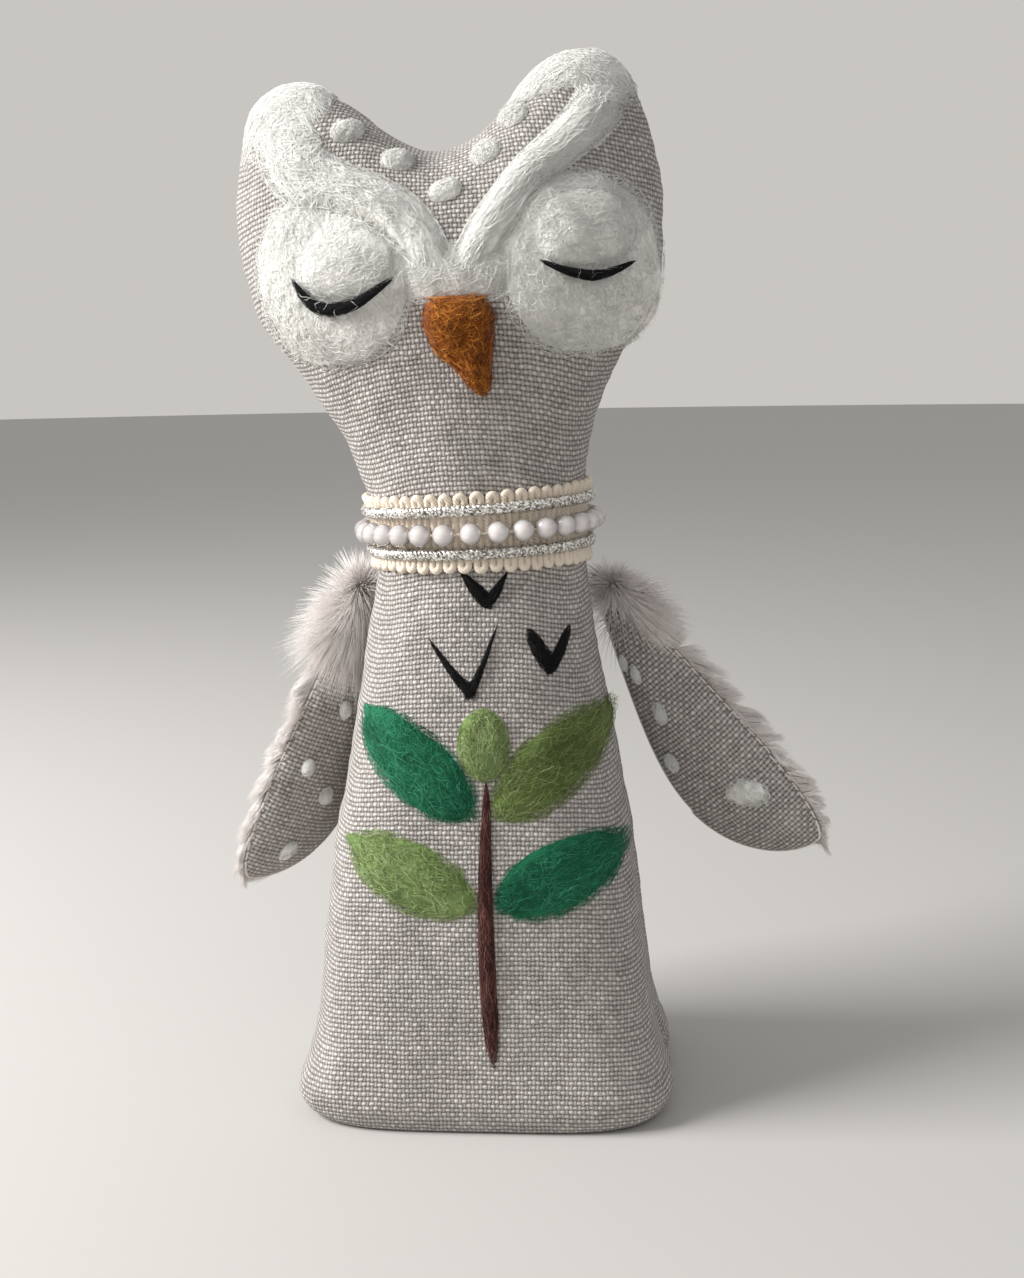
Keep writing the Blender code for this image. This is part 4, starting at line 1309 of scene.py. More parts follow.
# Collar
@dataclass
class Collar:
    """The neck trim: a ribbed band, scalloped edges, two glittering cords and a row of pearls."""

    form: OwlForm
    rise: float = 1.6 * MM
    width: float = 16.8 * MM
    face: float = 0.9 * MM
    band_rows: int = 20
    rib_count: int = 96
    rib_segments: int = 6
    rib_depth: float = 0.75 * MM
    row_height: float = 0.12 * MM
    row_count: float = 9.0
    scallops: int = 50
    scallop_thread: float = 0.80 * MM
    scallop_reach: float = 2.7 * MM
    scallop_fill: float = 0.50
    upper_cord_offset: float = 4.75 * MM
    lower_cord_offset: float = 4.3 * MM
    cord_radius: float = 0.66 * MM
    cord_spread: float = 0.62 * MM
    cord_pitch: float = 2.6 * MM
    cord_steps: int = 420
    pearl_radius: float = 2.35 * MM
    pearl_bed: float = 0.70
    pearl_pair_count: int = 15
    string_radius: float = 0.28 * MM
    string_steps: int = 160

    @property
    def height(self) -> float:
        """The collar's middle."""
        return self.form.neck_height + self.rise

    @property
    def pearl_proud(self) -> float:
        """How far the pearls' middles stand out of the linen."""
        return self.face + self.pearl_bed * self.pearl_radius

    def band(self) -> bpy.types.Object:
        """Make the ribbed ground that the rows are sewn to."""
        work = barrel(self.rib_count * self.rib_segments, self.band_rows, capped=False)
        flat = corners(work)
        turn = turns_of(flat)
        height = self.height + flat[:, 2] * (self.width - 1.7 * self.scallop_reach)
        rib = np.abs(np.cos(turn * self.rib_count / 2.0)) ** 0.9
        rows = self.row_height * np.sin(2.0 * math.pi * flat[:, 2] * self.row_count)
        proud = self.face - self.rib_depth * (1.0 - rib) + rows
        move_corners(work, self.form.surface(turn, height, 0.0, proud))
        turn_outwards(work, Vector((0.0, 0.0, self.height)))
        return thicken(piece_of("collar_ground", work), self.face)

    def scallop_row(self, name: str, side: float) -> bpy.types.Object:
        """Make the looped threads along one edge.

        Args:
            name: The piece's name.
            side: 1 for the upper edge and -1 for the lower.

        Returns:
            The piece.
        """
        paths = []
        half = math.pi / self.scallops * self.scallop_fill
        inner = self.width / 2.0 - self.scallop_reach - 1.4 * MM
        arc = np.linspace(0.0, math.pi, 9)
        proud = np.concatenate([[0.7], 0.55 + 0.2 * np.sin(arc), [0.7]]) * MM
        draw = np.random.default_rng(31)
        for index in range(self.scallops):
            middle = 2.0 * math.pi * (index + 0.5) / self.scallops
            turns = middle + half * np.concatenate([[-0.9], -np.cos(arc), [0.9]])
            top = self.width / 2.0 - 1.7 * MM + draw.uniform(-0.12, 0.12) * MM
            rises = np.concatenate([[inner], top + 1.0 * MM * np.sin(arc), [inner]])
            paths.append(self.form.surface(turns, self.height + side * rises, 0.0, proud))
        return tubes(name, paths, self.scallop_thread, round_steps=3)

    def cord(self, name: str, offset: float) -> bpy.types.Object:
        """Make one glittering cord of three twisted strands."""
        turn = np.linspace(0.0, 2.0 * math.pi, self.cord_steps, endpoint=False)
        twists = round(2.0 * math.pi * self.form.neck_half_width / self.cord_pitch)
        paths = []
        for strand in range(3):
            phase = turn * twists + strand * 2.0 * math.pi / 3.0
            height = self.height + offset + self.cord_spread * np.cos(phase)
            proud = self.face + self.cord_radius + 0.55 * self.cord_spread * np.sin(phase)
            paths.append(self.form.surface(turn, height, 0.0, proud))
        return tubes(name, paths, self.cord_radius, closed=True)

    def pearls(self) -> bpy.types.Object:
        """Make the row of pearls."""
        work = bmesh.new()
        for index in range(2 * self.pearl_pair_count):
            turn = math.pi * index / self.pearl_pair_count
            place = self.form.surface(np.array(turn), np.array(self.height), 0.0, self.pearl_proud)
            bmesh.ops.create_uvsphere(work, u_segments=24, v_segments=16, radius=self.pearl_radius,
                                      matrix=Matrix.Translation(Vector(place)))
        return piece_of("collar_pearls", work)

    def string(self) -> bpy.types.Object:
        """Make the thread that the pearls are strung on."""
        turn = np.linspace(0.0, 2.0 * math.pi, self.string_steps, endpoint=False)
        path = self.form.surface(turn, np.full_like(turn, self.height), 0.0, self.pearl_proud)
        return tubes("pearl_string", [path], self.string_radius, closed=True)

    def build(self, wardrobe: Wardrobe) -> None:
        """Make and dress the collar."""
        wardrobe.dress(self.band(), "braid", Body.OWL, ["collar_band"])
        for label, side in (("upper", 1.0), ("lower", -1.0)):
            wardrobe.dress(self.scallop_row(f"collar_{label}_scallops", side), "braid", Body.OWL)
        for label, offset in (("upper", self.upper_cord_offset), ("lower", -self.lower_cord_offset)):
            piece = self.cord(f"collar_{label}_cord", offset)
            wardrobe.dress(piece, "silver_thread", Body.OWL, [f"{label}_silver_cord"])
        nodes = [f"pearl_pair_{index + 1:02d}" for index in range(self.pearl_pair_count)]
        wardrobe.dress(self.pearls(), "pearl", Body.OWL, nodes)
        wardrobe.dress(self.string(), "braid", Body.OWL)


# Face
LONG_FIBRE = Strand(length=8.0 * MM, radius=0.060 * MM, bend=1.0)
DISC_FIBRE = Strand(length=5.0 * MM, radius=0.052 * MM, bend=1.2)
SHORT_FIBRE = Strand(length=3.0 * MM, radius=0.048 * MM, bend=1.0)
DISC_FUZZ = Fuzz(3800, DISC_FIBRE, 1.6, rim=1.05, stray=0.6 * MM)
LID_FUZZ = Fuzz(1100, DISC_FIBRE, 0.9)
LASH_FUZZ = Fuzz(520, SHORT_FIBRE, 0.3, rim=1.06)
LOOSE_FUZZ = Fuzz(12, SHORT_FIBRE, 0.5, heading=1.3, rim=1.1, stray=0.8 * MM)
LEFT_BROW_FUZZ = Fuzz(4000, LONG_FIBRE, 0.55, heading=0.1, rim=1.10, stray=0.6 * MM)
RIGHT_BROW_FUZZ = Fuzz(4000, LONG_FIBRE, 0.30, heading=-0.20, rim=1.10, stray=0.6 * MM)
EAR_FUZZ = Fuzz(2700, LONG_FIBRE, 0.35)
BRIDGE_FUZZ = Fuzz(2000, DISC_FIBRE, 1.2, rim=1.12)
BEAK_FUZZ = Fuzz(2800, SHORT_FIBRE, 1.4, rim=1.04, stray=1.4 * MM)
SPOT_FUZZ = Fuzz(520, SHORT_FIBRE, 1.0, rim=1.10, stray=0.6 * MM)
TICK_FUZZ = Fuzz(420, SHORT_FIBRE, 0.35, rim=1.2, stray=0.5 * MM)
LEAF_FUZZ = Fuzz(1400, DISC_FIBRE, 0.8, rim=1.10, stray=0.5 * MM)
STEM_FUZZ = Fuzz(900, DISC_FIBRE, 0.25, rim=1.0)
DOT_FUZZ = Fuzz(400, SHORT_FIBRE, 1.2, rim=1.25, stray=1.0 * MM)


@dataclass
class Face:
    """The needle-felted face: eye discs with lids, lashes, brows, ear tips, beak and spots."""

    form: OwlForm
    disc_shares: dict = field(default_factory=lambda: {
        Side.LEFT: ((-0.475, 0.850), (-0.540, 0.445), 0.355),
        Side.RIGHT: ((0.600, 0.825), (0.600, 0.420), 0.345),
    })
    lid_shares: dict = field(default_factory=lambda: {
        Side.LEFT: ((-0.620, 0.662), (-0.210, 0.672), 0.070),
        Side.RIGHT: ((0.400, 0.700), (0.830, 0.700), 0.085),
    })
    lash_shares: dict = field(default_factory=lambda: {
        Side.LEFT: ((-0.645, 0.642), (-0.580, 0.592), (-0.489, 0.572), (-0.359, 0.582), (-0.225, 0.620)),
        Side.RIGHT: ((0.418, 0.628), (0.501, 0.606), (0.607, 0.592), (0.695, 0.597), (0.790, 0.616)),
    })
    brow_shares: dict = field(default_factory=lambda: {
        Side.LEFT: ((-0.74, 1.04), (-0.63, 0.905), (-0.45, 0.850), (-0.27, 0.800), (-0.11, 0.725),
                    (-0.010, 0.620)),
        Side.RIGHT: ((0.77, 1.035), (0.70, 0.962), (0.55, 0.892), (0.37, 0.815), (0.205, 0.715),
                     (0.075, 0.612)),
    })
    brow_width_shares: dict = field(default_factory=lambda: {
        Side.LEFT: (1.5, 1.45, 1.0, 1.0, 1.15, 1.2),
        Side.RIGHT: (1.15, 1.05, 0.85, 0.80, 0.95, 1.1),
    })
    bridge_shares: tuple = ((-0.22, 0.640), (0.070, 0.618), (0.36, 0.640))
    bridge_half_width: float = 5.6 * MM
    bridge_crown: float = 1.3 * MM
    beak_shares: tuple = ((0.052, 0.572), (0.048, 0.500), (0.085, 0.430), (0.122, 0.345))
    beak_width_shares: tuple = (0.95, 1.10, 0.95, 0.62, 0.45)
    spot_shares: tuple = ((-0.399, 0.985), (-0.182, 0.903), (0.030, 0.816), (0.213, 0.898), (0.346, 0.980))
    disc_crown: float = 1.9 * MM
    lid_crown: float = 1.6 * MM
    lash_half_width: float = 1.15 * MM
    lash_crown: float = 0.9 * MM
    brow_half_width: float = 4.5 * MM
    brow_crown: float = 3.2 * MM
    beak_half_width: float = 6.4 * MM
    beak_crown: float = 6.0 * MM
    spot_half_width: float = 2.1 * MM
    spot_half_length: float = 3.0 * MM
    spot_crown: float = 1.7 * MM
    disc_dome: float = 0.8
    lash_rise: float = 0.9 * MM
    lash_narrowing: dict = field(default_factory=lambda: {Side.LEFT: 1.0, Side.RIGHT: 0.70})
    brow_blunt: dict = field(default_factory=lambda: {Side.LEFT: (2.6, 2.0), Side.RIGHT: (3.0, 2.0)})
    ear_half_wrap: float = 16.0 * MM
    spot_tilts: tuple = (0.1, -0.3, 0.25, 0.35, 0.5)

    def route(self, shares: Sequence[tuple[float, float]]) -> list[tuple[float, float]]:
        """Turn a route's shares into places on the upright head."""
        return [self.form.head_place(*share) for share in shares]

    def layer(self, route: Sequence[tuple[float, float]], half_width: float, crown: float,
              dome: float) -> Callable:
        """Work out how high a straight pad stands at x and z.

        Args:
            route: The pad's two ends.
            half_width: Half its width.
            crown: Its thickness.
            dome: How its thickness runs out.

        Returns:
            A function of x and z.
        """
        top, foot = np.array(route[0]), np.array(route[1])
        middle, reach = (top + foot) / 2.0, np.linalg.norm(foot - top) / 2.0
        along = (foot - top) / (2.0 * reach)

        def height(x: Array, z: Array) -> Array:
            """The pad's height at x and z."""
            down = ((x - middle[0]) * along[0] + (z - middle[1]) * along[1]) / reach
            across = ((x - middle[0]) * along[1] - (z - middle[1]) * along[0]) / half_width
            return crown * np.maximum(1.0 - down ** 2 - across ** 2, 0.0) ** (dome / 2.0)

        return height

    def eye(self, side: Side, wardrobe: Wardrobe) -> Callable:
        """Make one eye: disc, lid and lash.

        Args:
            side: Which eye.
            wardrobe: The finishes.

        Returns:
            The disc's height for x and z, for what else lies on it.
        """
        seed = 100 + 10 * int(side.value)
        top, foot, wide = self.disc_shares[side]
        ends, half_width = self.route((top, foot)), wide * self.form.head_half_width
        disc = front_pad(self.form, ends, half_width, self.disc_crown, 41 + int(side.value),
                         dome=self.disc_dome, ragged=0.04)
        height = self.layer(ends, half_width, self.disc_crown, self.disc_dome)
        start, end, lid_wide = self.lid_shares[side]
        lid = front_pad(self.form, self.route((start, end)), lid_wide * self.form.head_height,
                        self.lid_crown, seed + 3, under=height, dome=1.1)
        lash = front_pad(self.form, self.route(self.lash_shares[side]),
                         self.lash_half_width * self.lash_narrowing[side], self.lash_crown, seed + 6,
                         under=lambda x, z: height(x, z) + self.lash_rise,
                         width_shares=(0.6, 0.9, 1.1, 0.9, 0.6), ragged=0.12)
        wool = Bundle()
        wool.add_felt(disc, DISC_FUZZ, seed + 1)
        wool.add_felt(lid, LID_FUZZ, seed + 4)
        wool.add_strands(lash.fibres(LOOSE_FUZZ, seed + 9), LOOSE_FUZZ.strand, seed + 10)
        label = side.label
        wardrobe.dress(wool.finish(f"{label}_eye_wool"), "white_wool", Body.OWL, [f"{label}_eye_disc"])
        wardrobe.dress_felt(f"{label}_lash_wool", "black_wool", [f"{label}_lash"], lash, LASH_FUZZ, seed + 7)
        return height

    def brow(self, side: Side, under: Callable, wardrobe: Wardrobe) -> None:
        """Make one brow of combed wool.

        Args:
            side: Which brow.
            under: The disc's height for x and z.
            wardrobe: The finishes.
        """
        seed, label = 200 + 10 * int(side.value), side.label
        pad = front_pad(self.form, self.route(self.brow_shares[side]), self.brow_half_width,
                        self.brow_crown, seed, under=under, width_shares=self.brow_width_shares[side],
                        along=44, ragged=0.1, dome=1.5, blunt=self.brow_blunt[side])
        fuzz = LEFT_BROW_FUZZ if side is Side.LEFT else RIGHT_BROW_FUZZ
        wardrobe.dress_felt(f"{label}_brow_wool", "white_wool", [f"{label}_brow"], pad, fuzz, seed + 1)

    def ear_tip(self, side: Side, span: tuple[float, float], reach: tuple[float, float], back: float,
                crown: float, wardrobe: Wardrobe) -> None:
        """Make the wool that wraps over an ear's top seam.

        Args:
            side: Which ear.
            span: Where it starts and ends along the seam, as shares of the half width.
            reach: How far its start and its end reach down the front, as shares of the crown's closing.
            back: How far it reaches down the back.
            crown: Its thickness.
            wardrobe: The finishes.
        """
        form = self.form
        seed = 300 + 10 * int(side.value)
        middle, half = (span[0] + span[1]) / 2.0, (span[1] - span[0]) / 2.0
        mean_front = (reach[0] + reach[1]) / 2.0

        def bare(q: Array, w: Array) -> Array:
            """The cloth under the wool, over the seam from front to back."""
            share = np.clip(middle + half * q, -0.985, 0.985)
            front = mean_front + (reach[1] - reach[0]) / 2.0 * np.clip(q, -1.0, 1.0)
            wrap = (w + 1.0) / 2.0 * (front + back) - front
            power = 2.0 / form.round_squareness
            turn = np.arcsin(np.clip(np.abs(share) ** (1.0 / power), 0.0, 1.0)) * np.sign(share)
            turn = np.where(wrap < 0.0, turn, math.pi - turn)
            return form.surface(turn, np.full_like(turn, form.crown_height), 1.0 - np.abs(wrap), 0.0)

        def place(q: Array, w: Array, lift: Array) -> Array:
            """Raise a place off the cloth."""
            step = 0.004
            ahead = bare(q + step, w) - bare(q - step, w)
            over = bare(q, w + step) - bare(q, w - step)
            normal = unit(np.cross(ahead, over))
            core = form.leaned(np.full_like(q, middle * form.head_half_width), 0.0 * q,
                               np.full_like(q, form.crown_height))
            point = bare(q, w)
            facing = np.sign(np.sum(normal * (point - core), axis=-1, keepdims=True))
            return point + normal * facing * np.asarray(lift)[..., None]

        pad = Pad(place, abs(half) * form.head_half_width, (mean_front + back) * self.ear_half_wrap, crown,
                  seed, dome=1.0, sink=0.6 * MM, ragged=0.08, around=48, along=32, blunt=(3.2, 3.2))
        wardrobe.dress_felt(f"{side.label}_ear_wool", "white_wool", (), pad, EAR_FUZZ, seed + 1)

    def bridge(self, wardrobe: Wardrobe) -> None:
        """Make the thin wool between the eyes, over the beak."""
        pad = front_pad(self.form, self.route(self.bridge_shares), self.bridge_half_width,
                        self.bridge_crown, 391, dome=1.6, ragged=0.12)
        wardrobe.dress_felt("bridge_wool", "white_wool", (), pad, BRIDGE_FUZZ, 392)

    def beak(self, wardrobe: Wardrobe) -> None:
        """Make the beak: a firm drop of felt with a short fuzz."""
        pad = front_pad(self.form, self.route(self.beak_shares), self.beak_half_width, self.beak_crown, 401,
                        width_shares=self.beak_width_shares, ragged=0.03, sink=0.2 * MM, blunt=(4.0, 2.0))
        wardrobe.dress_felt("beak_wool", "orange_wool", ["beak"], pad, BEAK_FUZZ, 402)

    def spots(self, wardrobe: Wardrobe) -> None:
        """Make the forehead's five spots."""
        for index, ((x, z), tilt) in enumerate(zip(self.route(self.spot_shares), self.spot_tilts)):
            run, climb = self.spot_half_length * math.cos(tilt), self.spot_half_length * math.sin(tilt)
            pad = front_pad(self.form, [(x - run, z - climb), (x + run, z + climb)], self.spot_half_width,
                            self.spot_crown, 500 + index, ragged=0.16, around=24, along=16)
            wardrobe.dress_felt(f"forehead_spot_wool_{index + 1}", "white_wool",
                                [f"forehead_spot_{index + 1}"], pad, SPOT_FUZZ, 510 + index, 520 + index)

    def build(self, wardrobe: Wardrobe) -> None:
        """Make and dress the face."""
        for side in Side:
            self.brow(side, self.eye(side, wardrobe), wardrobe)
        self.ear_tip(Side.LEFT, (-0.98, -0.52), (0.50, 0.50), 0.14, 1.3 * MM, wardrobe)
        self.ear_tip(Side.RIGHT, (0.36, 0.95), (0.28, 0.44), 0.12, 1.7 * MM, wardrobe)
        self.bridge(wardrobe)
        self.beak(wardrobe)
        self.spots(wardrobe)


# Chest ticks and belly sprig
@dataclass
class FeltWork:
    """The black ticks on the chest and the leafy sprig on the belly."""

    form: OwlForm
    tick_shares: dict = field(default_factory=lambda: {
        "upper_chest_tick": ((0.072, 0.899), (-0.123, 0.047), (0.083, 0.041)),
        "middle_chest_tick": ((-0.014, 0.754), (-0.193, 0.077), (0.120, 0.098)),
        "side_chest_tick": ((0.378, 0.788), (-0.100, 0.060), (0.082, 0.058)),
    })
    tick_width_shares: dict = field(default_factory=lambda: {
        "upper_chest_tick": (1.3, 1.0, 0.4),
        "middle_chest_tick": (1.3, 0.6, 0.25),
        "side_chest_tick": (1.3, 1.15, 0.9),
    })
    tick_half_width: float = 1.0 * MM
    tick_crown: float = 0.9 * MM
    stroke_weights: tuple[float, float] = (1.15, 0.85)
    stroke_overlap: float = 0.4 * MM
    stem_shares: tuple = ((0.06, 0.600), (0.045, 0.44), (0.05, 0.30), (0.075, 0.12))
    stem_half_width: float = 1.6 * MM
    stem_width_shares: tuple = (0.8, 0.9, 1.0, 1.2, 1.5)
    stem_crown: float = 1.4 * MM
    leaf_length: float = 30.0 * MM
    leaf_half_width: float = 7.2 * MM
    leaf_clearance: float = 3.0 * MM
    leaf_crown: float = 1.4 * MM
    leaf_width_shares: tuple = (0.7, 0.95, 1.0, 0.95, 0.7)
    leaves: dict = field(default_factory=lambda: {
        "top_leaf": (0.612, 0.0, math.radians(0.0), 0.47, "leaf_wool"),
        "upper_left_leaf": (0.555, -1.0, math.radians(50.0), 1.0, "emerald_wool"),
        "upper_right_leaf": (0.555, 1.0, math.radians(50.0), 1.0, "olive_wool"),
        "lower_left_leaf": (0.40, -1.0, math.radians(66.0), 0.95, "leaf_wool"),
        "lower_right_leaf": (0.40, 1.0, math.radians(66.0), 0.95, "emerald_wool"),
    })
    def tick(self, name: str, seed: int, wardrobe: Wardrobe) -> None:
        """Make one tick of two tapering strokes."""
        apex, *arms = self.tick_shares[name]
        x, z = self.form.body_place(*apex)
        bundle = Bundle()
        for index, (arm, weight) in enumerate(zip(arms, self.stroke_weights)):
            run, climb = self.form.body_place(*arm)
            back = self.stroke_overlap * math.copysign(1.0, run)
            route = [(x - back, z - self.stroke_overlap), (x + 0.45 * run, z + 0.40 * climb),
                     (x + run, z + climb)]
            pad = front_pad(self.form, route, self.tick_half_width * weight, self.tick_crown, seed,
                            width_shares=self.tick_width_shares[name], ragged=0.18, around=20, along=22)
            bundle.add_felt(pad, TICK_FUZZ, seed + index + 2, seed + 4)
        wardrobe.dress(bundle.finish(f"{name}_wool"), "black_wool", Body.OWL, [name])

    def leaf(self, name: str, seed: int, wardrobe: Wardrobe) -> None:
        """Make one leaf of the sprig."""
        start, side, spread, size, wool = self.leaves[name]
        x = self.form.foot_half_width * self.stem_shares[1][0] + side * self.leaf_clearance
        z = start * self.form.neck_height
        length = self.leaf_length * size
        tip = (x + side * length * math.sin(spread), z + length * math.cos(spread))
        pad = front_pad(self.form, [(x, z), tip], self.leaf_half_width * math.sqrt(size),
                        self.leaf_crown, seed, width_shares=self.leaf_width_shares, dome=0.8, ragged=0.12)
        wardrobe.dress_felt(f"{name}_wool", wool, [name], pad, LEAF_FUZZ, seed + 1)

    def stem(self, wardrobe: Wardrobe) -> None:
        """Make the sprig's stem."""
        route = [self.form.body_place(*shares) for shares in self.stem_shares]
        pad = front_pad(self.form, route, self.stem_half_width, self.stem_crown, 601,
                        width_shares=self.stem_width_shares, along=60, ragged=0.1)
        wardrobe.dress_felt("sprig_stem_wool", "brown_wool", ["sprig_stem"], pad, STEM_FUZZ, 602)

    def build(self, wardrobe: Wardrobe) -> None:
        """Make and dress the felt work."""
        for index, name in enumerate(self.tick_shares):
            self.tick(name, 620 + 10 * index, wardrobe)
        self.stem(wardrobe)
        for index, name in enumerate(self.leaves):
            self.leaf(name, 660 + 10 * index, wardrobe)


# Wings
@dataclass
class Wing:
    """One wing: linen in front, fur behind, hung on a thread shank.

    Along the wing share runs from 0 at its top to 1 at its tip. Round it turn is 0 at the outer
    edge, half of pi in the middle of the furred back and minus half of pi in that of the linen.
    """

    side: Side
    tilt: float
    turn: float
    dots: tuple
    puff_count: int
    puff_length: float
    puff_reach: float
    puff_comb: float
    puff_turns: tuple[float, float]
    fringe_lean: float
    pile_end: float
    pile_count: int = 5900
    fringe_count: int = 3400
    length: float = 76.0 * MM
    half_width: float = 13.0 * MM
    half_thickness: float = 5.5 * MM
    top_half_width: float = 2.5 * MM
    peak_share: float = 0.70
    edge_share: float = 0.98
    tip_share: float = 0.42
    rounding: float = 0.5
    blunt_share: float = 0.05
    cloth: float = 0.5 * MM
    seam_depth: float = 0.9 * MM
    lump_height: float = 0.25 * MM
    face_gap: float = 0.05 * MM
    root_depth: float = 0.3 * MM
    dot_crown: float = 1.4 * MM
    dot_rise: float = 0.35 * MM
    filling_trim: float = 1.5 * MM
    shank_radius: float = 0.8 * MM
    shank_turns: float = 7.0
    shank_thread: float = 0.25 * MM
    gap: float = 0.3 * MM
    stitch_pitch: float = 2.6 * MM
    stitch_thread: float = 0.19 * MM
    step: float = 0.01
    fur_strand: Strand = Strand(length=6.0 * MM, radius=0.09 * MM, both_ends_fine=False)
    guard_strand: Strand = Strand(length=7.5 * MM, radius=0.085 * MM, both_ends_fine=False)

    @property
    def body(self) -> Body:
        """The body that the wing rides on."""
        return Body[f"{self.side.name}_WING"]

    def joint_place(self, kind: str) -> Array:
        """Where the frame's lift or swing joint of this wing sits."""
        name = f"{self.side.label}_wing_{kind}"
        return np.array(next(joint["pos_m"] for joint in frame["joints"] if joint["name"] == name))

    def swell(self, share: Array, largest: float, least: float) -> Array:
        """Half the wing's width or thickness, from its top at share 0 to its tip at share 1."""
        power = math.log(0.5) / math.log(self.peak_share)
        share = np.clip(share, 0.0, 1.0)
        swell = np.maximum(np.sin(math.pi * share ** power), 0.0) ** self.rounding
        blunt = np.sqrt(np.minimum(share / self.blunt_share, 1.0) * (1.0 - share))
        return least * blunt + (largest - least) * swell

    def local(self, share: Array, turn: Array, trim: float = 0.0) -> Array:
        """Places on the wing in its own frame: -Z down its length, Y to its furred face."""
        full = self.swell(share, self.half_width, self.top_half_width)
        thick = self.swell(share, self.half_thickness, self.top_half_width / 2.0) - trim
        reach = self.shank_radius + 2.0 * self.gap + share * self.length
        beyond_peak = np.where(share > self.peak_share, self.half_width - full, 0.0)
        out = -self.edge_share * full - self.tip_share * beyond_peak + (full - trim) * np.cos(turn)
        return np.stack([self.side.value * out, thick * np.sin(turn), -reach], axis=-1)

    def middle(self, share: Array) -> Array:
        """Places on the wing's middle line, in its own frame."""
        return self.local(share, np.full_like(share, math.pi / 2.0)) * [1.0, 0.0, 1.0]

    def world(self, local: Array) -> Array:
        """Carry places from the wing's frame to the owl's."""
        tilted = Euler((0.0, -self.side.value * self.tilt, 0.0)).to_matrix()
        turned = Euler((0.0, 0.0, -self.side.value * self.turn)).to_matrix()
        return local @ np.array(tilted @ turned).T + self.joint_place("lift")

    def skin(self, name: str, furred: bool) -> bpy.types.Object:
        """Make the linen face, or the backing that the fur grows from.

        Args:
            name: The piece's name.
            furred: Whether it is the furred side.

        Returns:
            The piece.
        """
        work = bmesh.new()
        bmesh.ops.create_uvsphere(work, u_segments=96, v_segments=90, radius=1.0)
        sign = 1.0 if furred else -1.0
        bmesh.ops.bisect_plane(
            work, geom=work.verts[:] + work.edges[:] + work.faces[:], dist=0.0001,
            plane_co=(0.0, 0.0, 0.0), plane_no=(0.0, -sign, 0.0), clear_outer=True)
        flat = corners(work)
        turn = np.arctan2(flat[:, 1], flat[:, 0])
        local = self.local((1.0 - flat[:, 2]) / 2.0, turn)
        edge = np.abs(np.sin(turn))
        drawn = self.seam_depth * np.exp(-(edge / 0.16) ** 2)
        lumps = self.lump_height * Ripples(10.0 * MM, 71).at(local)
        local[:, 1] -= sign * (drawn - lumps * edge)
        local[:, 1] += sign * self.face_gap
        move_corners(work, self.world(local))
        lay_cloth(work, local[:, (0, 2)])
        core = self.middle(np.array([self.peak_share]))
        turn_outwards(work, Vector(self.world(core)[0]))
        return thicken(piece_of(name, work), self.cloth)

    def grow(self, root: Array, heading: Array, droop: Array, strand: Strand, draw: np.random.Generator,
             clump_size: int = 40, clump_share: float = 0.55) -> Array:
        """Grow hairs from their roots, with their tips drawn together in clumps.

        Args:
            root: Where each hair starts, in the wing's frame.
            heading: Where it points.
            droop: How it bends towards its tip, as a share of its length.
            strand: What kind of hair it is.
            draw: Draws lengths and clumps.
            clump_size: How many hairs share a clump.
            clump_share: How closely their tips meet.

        Returns:
            Paths, hairs by sections by three, in the owl's frame.
        """
        count = len(root)
        length = strand.length * draw.uniform(0.65, 1.15, (count, 1))
        run = np.linspace(0.0, 1.0, strand.sections)[None, :, None]
        paths = root[:, None] + (heading * length)[:, None] * run + (droop * length)[:, None] * run ** 2
        leaders = draw.choice(count, max(count // clump_size, 1), replace=False)
        away = np.linalg.norm(root[:, None] - root[leaders][None], axis=2)
        nearest = leaders[away.argmin(axis=1)]
        pull = (paths[nearest, -1] - paths[:, -1]) * clump_share
        near = np.exp(-(away.min(axis=1) / (3.0 * MM)) ** 2)
        paths = paths + (pull * near[:, None])[:, None] * run ** 1.5
        return self.world(paths)

    def roots(self, share: Array, turn: Array) -> tuple[Array, Array, Array, Array]:
        """Places on the wing with three directions: down it, round it and out of it."""
        place = self.local(share, turn)
        down = unit(self.local(share + self.step, turn) - self.local(share - self.step, turn))
        around = unit(self.local(share, turn + self.step) - self.local(share, turn - self.step))
        normal = unit(np.cross(down, around))
        normal *= np.sign(np.sum(normal * (place - self.middle(share)), axis=-1, keepdims=True))
        return place, down, around, normal

    def pile(self, seed: int, strand: Strand) -> Array:
        """Grow the pile that lies down the wing's back."""
        draw = np.random.default_rng(seed)
        count = self.pile_count
        share, turn = draw.uniform(0.0, 0.985, count), draw.uniform(-0.05, self.pile_end, count)
        root, down, around, normal = self.roots(share, turn)
        sway = Ripples(9.0 * MM, seed + 1).at(root)[:, None] * 0.25 * around
        loose = draw.normal(0.0, 0.10, (count, 3))
        heading = unit(down * 0.9 + normal * 0.4 + sway + loose)
        droop = down * 0.15 - normal * 0.25
        return self.grow(root - normal * self.root_depth, heading, droop, strand, draw)

